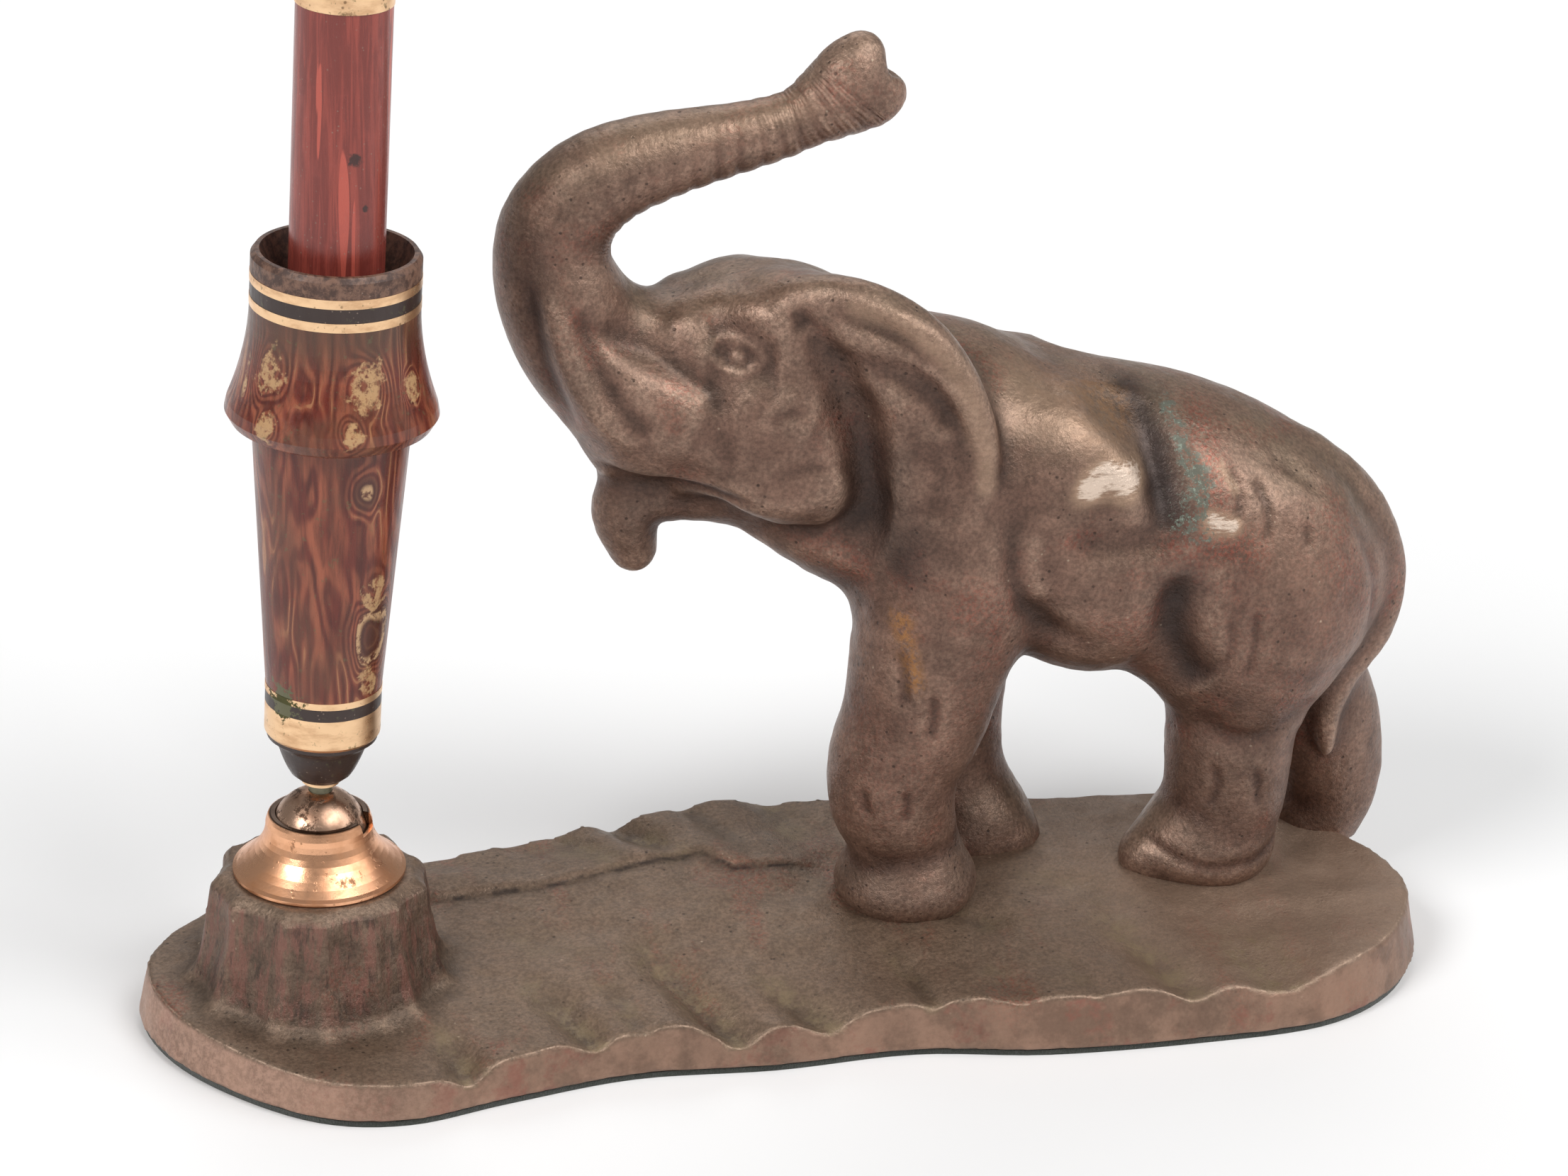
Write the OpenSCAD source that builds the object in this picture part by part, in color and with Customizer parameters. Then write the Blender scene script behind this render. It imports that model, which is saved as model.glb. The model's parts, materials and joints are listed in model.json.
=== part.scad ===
// Desk pen stand: a cast elephant on a ground plate, with a pen holder that swivels on a ball.
// +Z is up, the elephant faces -X, and the origin is under the middle of the base, at the felt's face.

/* [Base] */
// Thickness of the felt under the base
felt_t = 0.8; // [0.6:0.1:2]
// Height of the flat ground the elephant stands on
ground_z = 10; // [9:0.5:12]
// Depth of the recess under the casting
recess_depth = 4; // [2:0.5:5]
// Width of the rim around that recess
rim_w = 7; // [5:0.5:10]
// How far the side wall leans in between its foot and its top
draft = 1.6; // [0.5:0.1:3]
// Height of the tree stump's top
stump_z = 23; // [20:0.5:26]
// Radius of the stump where it leaves the ground
stump_r_low = 16.7; // [15.5:0.1:18]
// Radius of the stump's top face
stump_r_top = 14.2; // [13.5:0.1:15]

/* [Elephant] */
// Distance of the elephant's middle plane behind the base's middle
mid_y = 13; // [11:0.5:14]
// Half the width of its belly
belly_half_w = 19; // [16:0.5:20]
// Thickness of the ears
ear_t = 3; // [2.5:0.1:4]

/* [Swivel] */
// Radius of the ball
ball_r = 6.35; // [6:0.05:6.5]
// Height of the ball's centre above the stump's top
ball_rise = 5.6; // [5.2:0.1:6]
// Gap between the ball and what holds it
ball_gap = 0.05; // [0.02:0.01:0.1]
// Radius of the bell's rim
cup_r = 11.45; // [11:0.05:12]
// Height of the bell
cup_h = 8.5; // [8:0.1:9]
// Width of the slot in the bell
slot_w = 3.8; // [3.6:0.1:4.2]
// Direction the slot faces, from +X towards the rear
slot_turn = -27; // [-45:1:45]
// Height of the slot's floor above the ball's centre
slot_rise = 1; // [0:0.1:2]
// Radius of the neck
neck_r = 1.55; // [1.4:0.05:1.7]
// Lean of the holder towards the elephant, from upright
lean = 2.0; // [0:0.5:3]

/* [Holder] */
// Distance of the holder's lower end from the ball's centre
tip_s = 8; // [7.8:0.1:8.4]
// Top of the black tip's cone
band_s = 15; // [14.5:0.1:15.5]
// Radius of the wide gold band
band_r = 7.6; // [7.3:0.05:7.8]
// Radius of the tapered shell under the collar
taper_r = 10.2; // [9.9:0.1:10.4]
// Largest radius of the collar
collar_r = 13.7; // [13:0.1:14]
// Radius of the collar's neck, rings and rim
rim_r = 10.85; // [10.6:0.05:11]
// Distance of the rim's top from the ball's centre
rim_s = 81.8; // [81:0.1:83]

/* [Pen] */
// Radius of the barrel
barrel_r = 6.1; // [6:0.05:6.2]
// Wall thickness of the barrel
barrel_wall = 1.3; // [1.2:0.1:1.5]
// Gap between the barrel and the holder
pen_gap = 0.3; // [0.3:0.05:0.4]
// Length of barrel between the holder's ledge and the gold band
barrel_len = 52; // [48:1:56]
// Length of the tapered tail above the band
tail_len = 92; // [60:1:120]

/* [Hidden] */

cast_colour = "#6e5546";
ground_colour = "#635848";
copper = "#c08a68";
gold = "#d2a566";
black_rubber = "#37302a";
mottled_rubber = "#6e3c32";
pen_red = "#84403a";
steel = "#8d8d8a";

stump_at = [-65, -2];
ball_at = [stump_at[0], stump_at[1], stump_z + ball_rise];
skin_steps = 6;

// Corners of the ground plate's foot, anticlockwise from the holder's end
plate = [[-89, 3], [-87, -9], [-80, -20], [-69, -29.5], [-57, -32], [-43, -28.5], [-26, -25],
         [-7, -25.6], [12, -24.4], [30, -27.3], [51, -27.4], [69, -25.6], [81, -18.5], [88.2, -7],
         [88.6, 4], [83, 15], [71, 24], [55, 27], [36, 27.3], [18, 29.5], [0, 32], [-17, 28.5],
         [-35, 25.5], [-52, 23], [-70, 21], [-83, 13.5]];

// A point on the smooth closed curve through four neighbouring corners
function blend(a, b, c, d, t) =
    0.5 * (2 * b + (c - a) * t + (2 * a - 5 * b + 4 * c - d) * t * t + (3 * b - a - 3 * c + d) * t * t * t);
function smooth(points) =
    let (n = len(points))
    [for (i = [0 : n - 1], k = [0 : skin_steps - 1])
        blend(points[(i + n - 1) % n], points[i], points[(i + 1) % n], points[(i + 2) % n], k / skin_steps)];
// The same closed curve moved inwards by d
function inset(points, d) =
    let (n = len(points))
    [for (i = [0 : n - 1])
        let (along = points[(i + 1) % n] - points[(i + n - 1) % n])
        points[i] + d * [-along[1], along[0]] / norm(along)];

// A closed skin through rings that all have the same number of points
module skin(rings) {
    n = len(rings[0]);
    last = len(rings) - 1;
    points = [for (ring = rings, p = ring) p];
    sides = [for (j = [0 : last - 1], i = [0 : n - 1])
        [j * n + i, (j + 1) * n + i, (j + 1) * n + (i + 1) % n, j * n + (i + 1) % n]];
    polyhedron(points = points, faces = concat([[for (i = [0 : n - 1]) i]], sides,
        [[for (i = [n - 1 : -1 : 0]) last * n + i]]), convexity = 6);
}
function at_z(points, z) = [for (p = points) [p[0], p[1], z]];

// The rough, many-sided outline of the stump; each side stands a little in or out of the round
function stump_ring(r) =
    let (sides = 12)
    [for (i = [0 : sides - 1]) let (a = i * 360 / sides + 8) (r + 0.35 * sin(i * 150)) * [cos(a), sin(a)]];

// Places a child on the holder's axis: the ball's centre is zero and the axis leans towards the elephant
module on_axis() {
    translate(ball_at) rotate([0, lean, 0]) children();
}
// A turned piece, from its half outline of [radius, distance along the axis]
module turned(outline) {
    on_axis() rotate_extrude($fn = 96) polygon(outline);
}
module tube(r_out, r_in, s_low, s_high) {
    turned([[r_in, s_low], [r_out, s_low], [r_out, s_high], [r_in, s_high]]);
}

// ---- Base ----
screw_feet = [[18, 4.5], [61, 9]];
foot_screw_r = 1.6;
foot_screw_head_r = 3;
mount_screw_r = 2.4;
mount_head_r = 4.4;
mount_washer_r = 5.4;
mount_washer_h = 0.8;
well_r = 8.9;
well_z = 15.2;
recess_z = felt_t + recess_depth;
counterbore_z = recess_z - 0.6;
foot_plate = smooth(plate);

module base_casting() {
    color(ground_colour) difference() {
        union() {
            skin([at_z(foot_plate, felt_t), at_z(inset(foot_plate, draft * 0.6), ground_z - 2),
                  at_z(inset(foot_plate, draft + 0.6), ground_z)]);
            translate([stump_at[0], stump_at[1], 0])
                skin([at_z(stump_ring(stump_r_low), ground_z - 1),
                      at_z(stump_ring(stump_r_low - 1.5), stump_z - 5),
                      at_z(stump_ring(stump_r_top), stump_z - 0.8),
                      at_z(stump_ring(stump_r_top - 0.8), stump_z)]);
        }
        linear_extrude(height = recess_z) difference() {
            polygon(inset(foot_plate, rim_w));
            translate(stump_at) circle(r = mount_washer_r + 4, $fn = 48);
            for (p = screw_feet) translate(p) circle(r = foot_screw_head_r + 2.5, $fn = 48);
        }
        translate([stump_at[0], stump_at[1], 0]) {
            cylinder(r = mount_washer_r + 0.4, h = counterbore_z, $fn = 48);
            cylinder(r = mount_screw_r + 0.2, h = stump_z, $fn = 48);
            translate([0, 0, well_z]) cylinder(r = well_r, h = stump_z, $fn = 96);
        }
        for (p = screw_feet) translate([p[0], p[1], 0]) {
            cylinder(r = foot_screw_r + 0.2, h = ground_z + 1, $fn = 32);
            cylinder(r = foot_screw_head_r + 0.3, h = counterbore_z, $fn = 48);
        }
    }
}

module felt_pad() {
    color("#2f3a2c") skin([at_z(inset(foot_plate, 0.7), 0), at_z(inset(foot_plate, 0.7), felt_t)]);
}

// ---- Elephant ----
// A limb or trunk: balls along it, each [x, sideways distance from the middle plane, z, radius]
module limb(balls, fn = 16) {
    for (i = [0 : len(balls) - 2]) hull() {
        for (b = [balls[i], balls[i + 1]]) translate([b[0], mid_y + b[1], b[2]]) sphere(r = b[3], $fn = fn);
    }
}
// A lump stretched along and across: centre, then half sizes
module lump(at, half, turn = 0, fn = 20) {
    translate([at[0], mid_y + at[1], at[2]]) rotate([0, turn, 0]) scale(half) sphere(r = 1, $fn = fn);
}
// A foot: a low round pad standing on the ground
module foot(x, y, r) {
    hull() {
        translate([x, mid_y + y, ground_z]) cylinder(r = r - 0.8, h = 1, $fn = 20);
        translate([x, mid_y + y, ground_z + 3]) cylinder(r = r, h = 2, $fn = 20);
        translate([x, mid_y + y, ground_z + 8]) cylinder(r = r - 1.6, h = 1, $fn = 20);
    }
}

trunk_path = [[-22, 0, 84, 11], [-30, 0, 91, 8.6], [-32.8, 0, 101, 8], [-29.6, 0, 110.5, 7.3],
              [-21, 0, 114.9, 6.2], [-12, 0, 117.2, 5], [-3, 0, 118.8, 4.2], [3.5, 0, 121.5, 4.6],
              [8, 0, 126, 5]];
jaw_path = [[-8, 0, 73, 9], [-19, 0, 68, 5.2], [-21, 0, 60.5, 3.2]];
near_front = [[21, -8, 56, 13], [17.5, -9, 40, 9.9], [14.3, -9, 28, 9], [15.3, -9, 18, 8.3]];
far_front = [[24, 7, 54, 12], [26, 9, 38, 9], [27, 9, 28, 8.3], [27, 9, 18, 8]];
near_hind = [[66, -4, 50, 15], [65, -4.5, 34, 10.5], [64.3, -4.5, 24, 9], [63.5, -4, 18, 8.8]];
far_hind = [[72, 5, 48, 13], [78, 7, 32, 9.6], [81.5, 8, 20, 9.4]];
tail_path = [[74, 0, 66, 5], [81, 0, 58, 4.4], [84.6, 0, 48, 3.8], [82, -2, 38, 3.2], [79, -4, 29, 2.8]];
// The ear's flap: balls around its edge, [x, outwards from the middle plane, z]
ear_edge = [[-2, 13, 97], [8, 16, 97.5], [17, 19, 91], [22, 20, 80], [20.5, 19.5, 70], [14, 18, 62],
            [9.5, 16, 66], [7, 14, 76], [3, 13, 86]];

// The far ear lies closer to the neck and lower, by these amounts
far_ear_in = 5;
far_ear_down = 9;
module ear(side) {
    centre = [9, 15.5, 82];
    in = side > 0 ? far_ear_in : 0;
    down = side > 0 ? far_ear_down : 0;
    for (i = [0 : len(ear_edge) - 1]) hull() {
        for (b = [ear_edge[i], ear_edge[(i + 1) % len(ear_edge)], centre])
            translate([b[0], mid_y + side * (b[1] - in), b[2] - down]) sphere(d = ear_t, $fn = 12);
    }
}

module elephant() {
    color(cast_colour) difference() {
        union() {
            lump([43, 0, 60.5], [32, belly_half_w, 24], 12);
            lump([23, 0, 65], [17, 17.5, 24], -10);
            lump([61.5, 0, 54], [23.5, 18, 22], 32);
            lump([-3, 0, 85.5], [15.5, 14.5, 14.8], -15);
            limb([[-4, 0, 82, 13], [12, 0, 75, 15]]);
            limb(trunk_path);
            limb(jaw_path);
            limb(near_front);
            limb(far_front);
            limb(near_hind);
            limb(far_hind);
            limb(tail_path, 10);
            foot(18, -8.5, 9.8);
            foot(28, 9, 9.4);
            foot(60.8, -4, 10.6);
            foot(80.5, 8, 9.4);
            ear(-1);
            ear(1);
        }
        translate([-100, -100, ground_z - 40]) cube([200, 200, 40]);
        for (p = screw_feet) translate([p[0], p[1], ground_z - 1])
            cylinder(r = foot_screw_r + 0.05, h = 9, $fn = 32);
    }
}

module elephant_screws() {
    head_h = 1.8;
    head_z = counterbore_z - head_h;
    color(steel) for (p = screw_feet) translate([p[0], p[1], 0]) difference() {
        union() {
            translate([0, 0, head_z]) cylinder(r = foot_screw_head_r, h = head_h, $fn = 48);
            translate([0, 0, head_z]) cylinder(r = foot_screw_r, h = ground_z + 7 - head_z, $fn = 32);
        }
        translate([-foot_screw_head_r, -0.4, head_z - 1]) cube([2 * foot_screw_head_r, 0.8, 1.7]);
    }
}

// ---- Ball swivel ----
sleeve_r = 8.5;
sleeve_in = 7.4;
plug_h = 3;
plug_z = well_z + 0.3;
lip_out = 6.85;
lip_in_gap = 0.1;
slot_in = 3;
ball_z = ball_at[2];
ring_steps = 8;

// Half outline of the bell: a rolled bead at its rim, a concave flare and a rounded lip over the ball
module bell_outline() {
    top = stump_z + cup_h;
    seat_r = ball_r + ball_gap;
    lip_drop = top - ball_z;
    shoulder_r = lip_out + 0.2;
    flare = [for (k = [0 : ring_steps]) let (t = k / ring_steps)
        [shoulder_r + (cup_r - 0.5 - shoulder_r) * pow(1 - t, 2.1), stump_z + 1 + (cup_h - 2.2) * t]];
    polygon(concat(
        [[sleeve_in, plug_z], [sleeve_r, plug_z], [sleeve_r, stump_z - 0.02], [sleeve_r, stump_z],
         [cup_r - 0.3, stump_z], [cup_r, stump_z + 0.3], [cup_r, stump_z + 0.7]],
        flare, [[lip_out, top - 0.5], [lip_out - 0.15, top - 0.15], [lip_out - 0.5, top],
                [sqrt(seat_r * seat_r - lip_drop * lip_drop) + lip_in_gap, top]],
        [for (k = [0 : 6]) let (a = asin((lip_drop - 0.1) / seat_r) * (1 - k / 6))
            [seat_r * cos(a), ball_z + seat_r * sin(a)]],
        [[sleeve_in, ball_z - 1.2]]));
}

module swivel_cup() {
    color(copper) translate([stump_at[0], stump_at[1], 0]) difference() {
        rotate_extrude($fn = 128) bell_outline();
        rotate([0, 0, slot_turn]) translate([slot_in, -slot_w / 2, ball_z + slot_rise])
            cube([cup_r, slot_w, cup_h]);
    }
}
module cup_plug() {
    color("#a8865c") translate([stump_at[0], stump_at[1], plug_z]) difference() {
        cylinder(r = sleeve_in, h = plug_h, $fn = 96);
        translate([0, 0, -1]) cylinder(r = mount_screw_r, h = plug_h + 2, $fn = 48);
    }
}
module mount_screw() {
    head_h = 2.2;
    head_z = counterbore_z - mount_washer_h - head_h;
    color(steel) translate([stump_at[0], stump_at[1], 0]) difference() {
        union() {
            translate([0, 0, head_z]) cylinder(r = mount_head_r, h = head_h, $fn = 48);
            translate([0, 0, head_z]) cylinder(r = mount_screw_r, h = plug_z + plug_h - head_z, $fn = 48);
        }
        translate([-mount_head_r, -0.5, head_z - 1]) cube([2 * mount_head_r, 1, 2]);
    }
}
module mount_washer() {
    color(steel) translate([stump_at[0], stump_at[1], counterbore_z - mount_washer_h]) difference() {
        cylinder(r = mount_washer_r, h = mount_washer_h, $fn = 48);
        translate([0, 0, -1]) cylinder(r = mount_screw_r + 0.15, h = 3, $fn = 48);
    }
}
// The friction spring that pushes the seat up against the ball: two turns of round wire
module seat_spring() {
    wire_r = 0.45;
    coil_r = 4.9;
    turns = 2;
    sides = 8;
    rings = 48;
    z_low = plug_z + plug_h + wire_r;
    rise = seat_z - z_low - wire_r - 0.1;
    color(steel) translate([stump_at[0], stump_at[1], 0])
        skin([for (j = [0 : rings]) let (a = j / rings * turns * 360, z = z_low + rise * j / rings)
            [for (i = [0 : sides - 1]) let (b = -i * 360 / sides)
                [(coil_r + wire_r * cos(b)) * cos(a), (coil_r + wire_r * cos(b)) * sin(a),
                 z + wire_r * sin(b)]]]);
}
seat_z = 21.1;
seat_out = 6.9;
module ball_seat() {
    seat_r = ball_r + ball_gap;
    color("#a8865c") translate([ball_at[0], ball_at[1], 0]) rotate_extrude($fn = 96)
        polygon(concat([[2.6, seat_z], [seat_out, seat_z], [seat_out, ball_z - 2.2]],
            [for (k = [0 : 6]) let (a = -25 - k * 7) [seat_r * cos(a), ball_z + seat_r * sin(a)]]));
}
stud_depth = 4;
module swivel_ball() {
    color(copper) on_axis() difference() {
        sphere(r = ball_r, $fn = 96);
        translate([0, 0, ball_r - stud_depth]) cylinder(r = neck_r + 0.05, h = stud_depth + 1, $fn = 48);
    }
}

// ---- Holder ----
nut_s = 16.5;
nut_h = 2.6;
nut_r = 3;
nut_pocket_r = 3.4;
nut_pocket_s = 20.4;
nut_well_r = 4.6;
spigot_r = 5.6;
spigot_s = 27;
band_top_s = 19.5;
lower_spacer_s = 21.2;
lower_ring_s = 22.1;
collar_low_s = 57.9;
collar_wide_s = 60.3;
collar_ring_s = [74.7, 75.9];
rim_ring_s = [77.8, 79.0];
core_r = 6.9;
sleeve_step_r = 9.3;
liner_r = 8.2;
liner_top_s = 73;
ledge_s = 62;
bore_r = barrel_r + pen_gap;

module neck_stud() {
    color(steel) on_axis() translate([0, 0, ball_r - stud_depth + 0.3])
        cylinder(r = neck_r, h = nut_s + nut_h + 0.6 - (ball_r - stud_depth + 0.3), $fn = 48);
}
module tip_washer() {
    color(gold) tube(2.5, neck_r, tip_s - 0.5, tip_s);
}
module neck_nut() {
    color(steel) on_axis() translate([0, 0, nut_s]) difference() {
        cylinder(r = nut_r, h = nut_h, $fn = 6);
        translate([0, 0, -1]) cylinder(r = neck_r, h = nut_h + 2, $fn = 48);
    }
}
// The black tip runs up through the bands as their core and ends in a threaded spigot
module socket_tip() {
    end_r = 3.1;
    waist_r = 5.8;
    flare_h = 2;
    body_h = band_s - flare_h - tip_s;
    color(black_rubber) turned(concat([[neck_r, tip_s], [end_r - 0.5, tip_s], [end_r, tip_s + 0.2]],
        [for (k = [1 : 6]) let (t = k / 6)
            [end_r + (waist_r - end_r) * pow(t, 0.6), tip_s + 0.2 + (body_h - 0.2) * t]],
        [for (k = [1 : 4]) let (t = k / 4)
            [waist_r + (band_r - 0.35 - waist_r) * pow(t, 1.6), band_s - flare_h + (flare_h - 0.5) * t]],
        [[band_r - 0.3, band_s], [core_r, band_s], [core_r, lower_ring_s], [spigot_r, lower_ring_s],
         [spigot_r, spigot_s], [nut_well_r, spigot_s], [nut_well_r, nut_pocket_s],
         [nut_pocket_r, nut_pocket_s], [nut_pocket_r, nut_s], [neck_r, nut_s]]));
}
module lower_band() {
    color(gold) turned([[core_r, band_s], [band_r - 0.3, band_s], [band_r, band_s + 0.4],
        [band_r, band_top_s], [core_r, band_top_s]]);
}
module lower_spacer() {
    color(black_rubber) tube(band_r, core_r, band_top_s, lower_spacer_s);
}
module lower_ring() {
    color(gold) tube(band_r + 0.05, core_r, lower_spacer_s, lower_ring_s);
}
module socket_taper() {
    color(mottled_rubber) turned([[spigot_r, lower_ring_s], [band_r, lower_ring_s], [taper_r, collar_low_s],
        [sleeve_step_r, collar_low_s + 0.6], [sleeve_step_r, liner_top_s], [liner_r, liner_top_s],
        [liner_r, 40], [7.1, 40], [6, spigot_s + 0.2], [spigot_r, spigot_s + 0.2]]);
}
module socket_collar() {
    flare_s = collar_wide_s + 1.3;
    flare_r = collar_r - 0.25;
    color(mottled_rubber) turned(concat([[sleeve_step_r, collar_low_s + 0.6], [taper_r, collar_low_s],
        [11.4, collar_low_s + 0.2], [12.9, collar_low_s + 1], [collar_r, collar_wide_s], [flare_r, flare_s]],
        [for (k = [1 : 8]) let (t = k / 8)
            [rim_r + (flare_r - rim_r) * pow(1 - t, 1.9), flare_s + (collar_ring_s[0] - flare_s) * t]],
        [[sleeve_step_r, collar_ring_s[0]]]));
}
module collar_ring() {
    color(gold) tube(rim_r + 0.05, sleeve_step_r, collar_ring_s[0], collar_ring_s[1]);
}
module collar_spacer() {
    color(black_rubber) tube(rim_r, sleeve_step_r, collar_ring_s[1], rim_ring_s[0]);
}
module rim_ring() {
    color(gold) tube(rim_r + 0.05, sleeve_step_r, rim_ring_s[0], rim_ring_s[1]);
}
// The funnel mouth screws down inside the rings
module mouth_rim() {
    foot_s = liner_top_s + 0.2;
    color(black_rubber) turned([[liner_r, foot_s], [sleeve_step_r, foot_s], [sleeve_step_r, rim_ring_s[1]],
        [rim_r, rim_ring_s[1]],
        [rim_r, rim_s - 0.7], [rim_r - 0.5, rim_s], [rim_r - 1.1, rim_s], [9.1, rim_s - 1.8],
        [8.1, rim_s - 4.6], [7.6, rim_s - 7.6]]);
}
// The sleeve that the pen stands in, with a ledge under the barrel's end
module socket_liner() {
    liner_in = 5.7;
    foot_s = 40.2;
    color("#4a403a") turned([[liner_in, foot_s], [7, foot_s], [liner_r, foot_s + 1],
        [liner_r, liner_top_s - 0.2], [7.6, liner_top_s], [bore_r, liner_top_s - 1.5], [bore_r, ledge_s],
        [liner_in, ledge_s]]);
}

// ---- Pen ----
barrel_s = ledge_s + pen_gap;
barrel_in = barrel_r - barrel_wall;
band_low_s = barrel_s + barrel_len;
pen_band_h = 4.6;
band_high_s = band_low_s + pen_band_h;
plug_spigot_r = 4.4;
tail_end_s = band_high_s + tail_len;
lever_angle = 90;
lever_s = 98;
lever_w = 2.2;
lever_slot_w = lever_w + 0.6;
lever_low_s = 84;
lever_high_s = 101.4;
pin_at_r = 5.15;
pin_r = 0.4;
pin_len = 4.2;

// Turns a child so that its +X points to the lever's side of the barrel, away from the stand's front
module lever_side() {
    on_axis() rotate([0, 0, lever_angle]) children();
}
module pen_barrel() {
    color(pen_red) difference() {
        tube(barrel_r, barrel_in, barrel_s, band_low_s);
        lever_side() {
            translate([barrel_in - 1.4, -lever_slot_w / 2, lever_low_s - 0.5])
                cube([5, lever_slot_w, lever_high_s - lever_low_s + 1]);
            translate([pin_at_r, 0, lever_s]) rotate([90, 0, 0])
                cylinder(r = pin_r, h = pin_len, center = true, $fn = 32);
        }
    }
}
module barrel_band() {
    color(gold) tube(barrel_r + 0.12, plug_spigot_r, band_low_s, band_high_s);
}
module band_plug() {
    color(black_rubber) turned([[0, band_low_s - 4], [barrel_in, band_low_s - 4], [barrel_in, band_low_s],
        [plug_spigot_r, band_low_s], [plug_spigot_r, band_high_s + 5], [0, band_high_s + 5]]);
}
tail_end_r = 2.6;
module pen_tail() {
    cap_s = tail_end_s - 4;
    color(pen_red) turned(concat([[0, band_high_s + 5.2], [plug_spigot_r, band_high_s + 5.2],
        [plug_spigot_r, band_high_s]],
        [for (k = [0 : 12]) let (t = k / 12)
            [tail_end_r + (barrel_r - tail_end_r) * pow(1 - t, 1.15),
             band_high_s + (cap_s - band_high_s) * t]],
        [[0, cap_s]]));
}
module tail_cap() {
    cap_s = tail_end_s - 4;
    color(black_rubber) turned(concat([[0, cap_s], [tail_end_r, cap_s]],
        [for (k = [0 : 5]) let (a = k * 18) [tail_end_r * cos(a), cap_s + 1.6 + 2.4 * sin(a)]]));
}
section_end_s = 44;
section_r = 5.2;
nipple_r = 2.6;
module pen_section() {
    feed_bore_r = 2.2;
    color(black_rubber) turned([[feed_bore_r, section_end_s], [4.2, section_end_s], [4.5, section_end_s + 1],
        [4.3, section_end_s + 3], [section_r, barrel_s - 0.6], [section_r, barrel_s], [barrel_in, barrel_s],
        [barrel_in, barrel_s + 7], [nipple_r, barrel_s + 7], [nipple_r, barrel_s + 13], [1, barrel_s + 13],
        [1, barrel_s + 4], [feed_bore_r, barrel_s + 3]]);
}
// The ink feed: a rod in the section that narrows under the nib
module pen_feed() {
    color(black_rubber) turned([[0, section_end_s - 15], [0.5, section_end_s - 14.6],
        [1.7, section_end_s - 2], [1.8, barrel_s + 2], [0, barrel_s + 2]]);
}
// The nib: a curved leaf over the feed, cut to a point with a slit and a vent hole
nib_len = 20;
module nib_shape() {
    polygon([[-2.1, 9], [2.1, 9], [2.1, 0], [2.05, -3], [1.5, -9], [0.35, -nib_len + 9.4], [0, -nib_len + 9],
             [-0.35, -nib_len + 9.4], [-1.5, -9], [-2.05, -3], [-2.1, 0]]);
}
module pen_nib() {
    color(gold) on_axis() intersection() {
        difference() {
            rotate_extrude($fn = 48)
                polygon([[0.55, section_end_s - 15.8], [0.75, section_end_s - 16], [2.15, section_end_s - 2],
                         [2.15, section_end_s + 9], [1.9, section_end_s + 9], [1.9, section_end_s - 2]]);
            translate([0, -3, section_end_s - 5.5]) rotate([90, 0, 0])
                cylinder(r = 0.5, h = 4, center = true, $fn = 24);
            translate([-0.08, -4, section_end_s - 18]) cube([0.16, 4, 12.5]);
        }
        translate([0, 0.6, section_end_s]) rotate([90, 0, 0]) linear_extrude(height = 6) nib_shape();
    }
}
sac_r = 3.2;
module ink_sac() {
    s0 = barrel_s + 8;
    s1 = band_low_s - 8;
    color("#5b4636") turned(concat([[nipple_r, s0], [sac_r, s0], [sac_r, s1]],
        [for (k = [1 : 4]) let (a = k * 22.5) [sac_r * cos(a), s1 + sac_r * sin(a)]],
        [[0, s1 + sac_r - 0.5], [2.4, s1], [2.4, barrel_s + 13.4], [nipple_r, barrel_s + 13]]));
}
module pressure_bar() {
    color(steel) lever_side() translate([sac_r + 0.25, -1.5, barrel_s + 14])
        cube([0.4, 3, band_low_s - barrel_s - 24]);
}
module fill_lever() {
    arm_t = 0.9;
    inner_arm = 2.6;
    color(gold) lever_side() translate([pin_at_r, 0, 0]) difference() {
        union() {
            translate([-arm_t / 2, -lever_w / 2, lever_low_s])
                cube([arm_t, lever_w, lever_s + inner_arm - lever_low_s]);
            translate([0, 0, lever_low_s + 1.3]) rotate([0, 90, 0])
                cylinder(r = 1.1, h = 0.8, $fn = 32);
            translate([0, 0, lever_s]) rotate([90, 0, 0])
                cylinder(r = 0.85, h = lever_w, center = true, $fn = 32);
        }
        translate([0, 0, lever_s]) rotate([90, 0, 0])
            cylinder(r = pin_r + 0.05, h = 4, center = true, $fn = 32);
    }
}
module lever_pin() {
    color(steel) lever_side() translate([pin_at_r, 0, lever_s]) rotate([90, 0, 0])
        cylinder(r = pin_r, h = pin_len, center = true, $fn = 32);
}

base_casting();
felt_pad();
elephant();
elephant_screws();
swivel_cup();
cup_plug();
mount_screw();
mount_washer();
seat_spring();
ball_seat();
swivel_ball();
neck_stud();
tip_washer();
neck_nut();
socket_tip();
lower_band();
lower_spacer();
lower_ring();
socket_taper();
socket_collar();
collar_ring();
collar_spacer();
rim_ring();
mouth_rim();
socket_liner();
pen_barrel();
barrel_band();
band_plug();
pen_tail();
tail_cap();
pen_section();
pen_feed();
pen_nib();
ink_sac();
pressure_bar();
fill_lever();
lever_pin();
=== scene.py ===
"""Looks of a desk pen stand: a cast elephant and a stump with a swivel pen holder on a rippled plate.

Sculpting is done in millimetres in the frame's own axes, and a mesh is made from it in metres.
"""
import json
import math

import bpy
import numpy as np
from mathutils import Matrix, Vector


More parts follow.
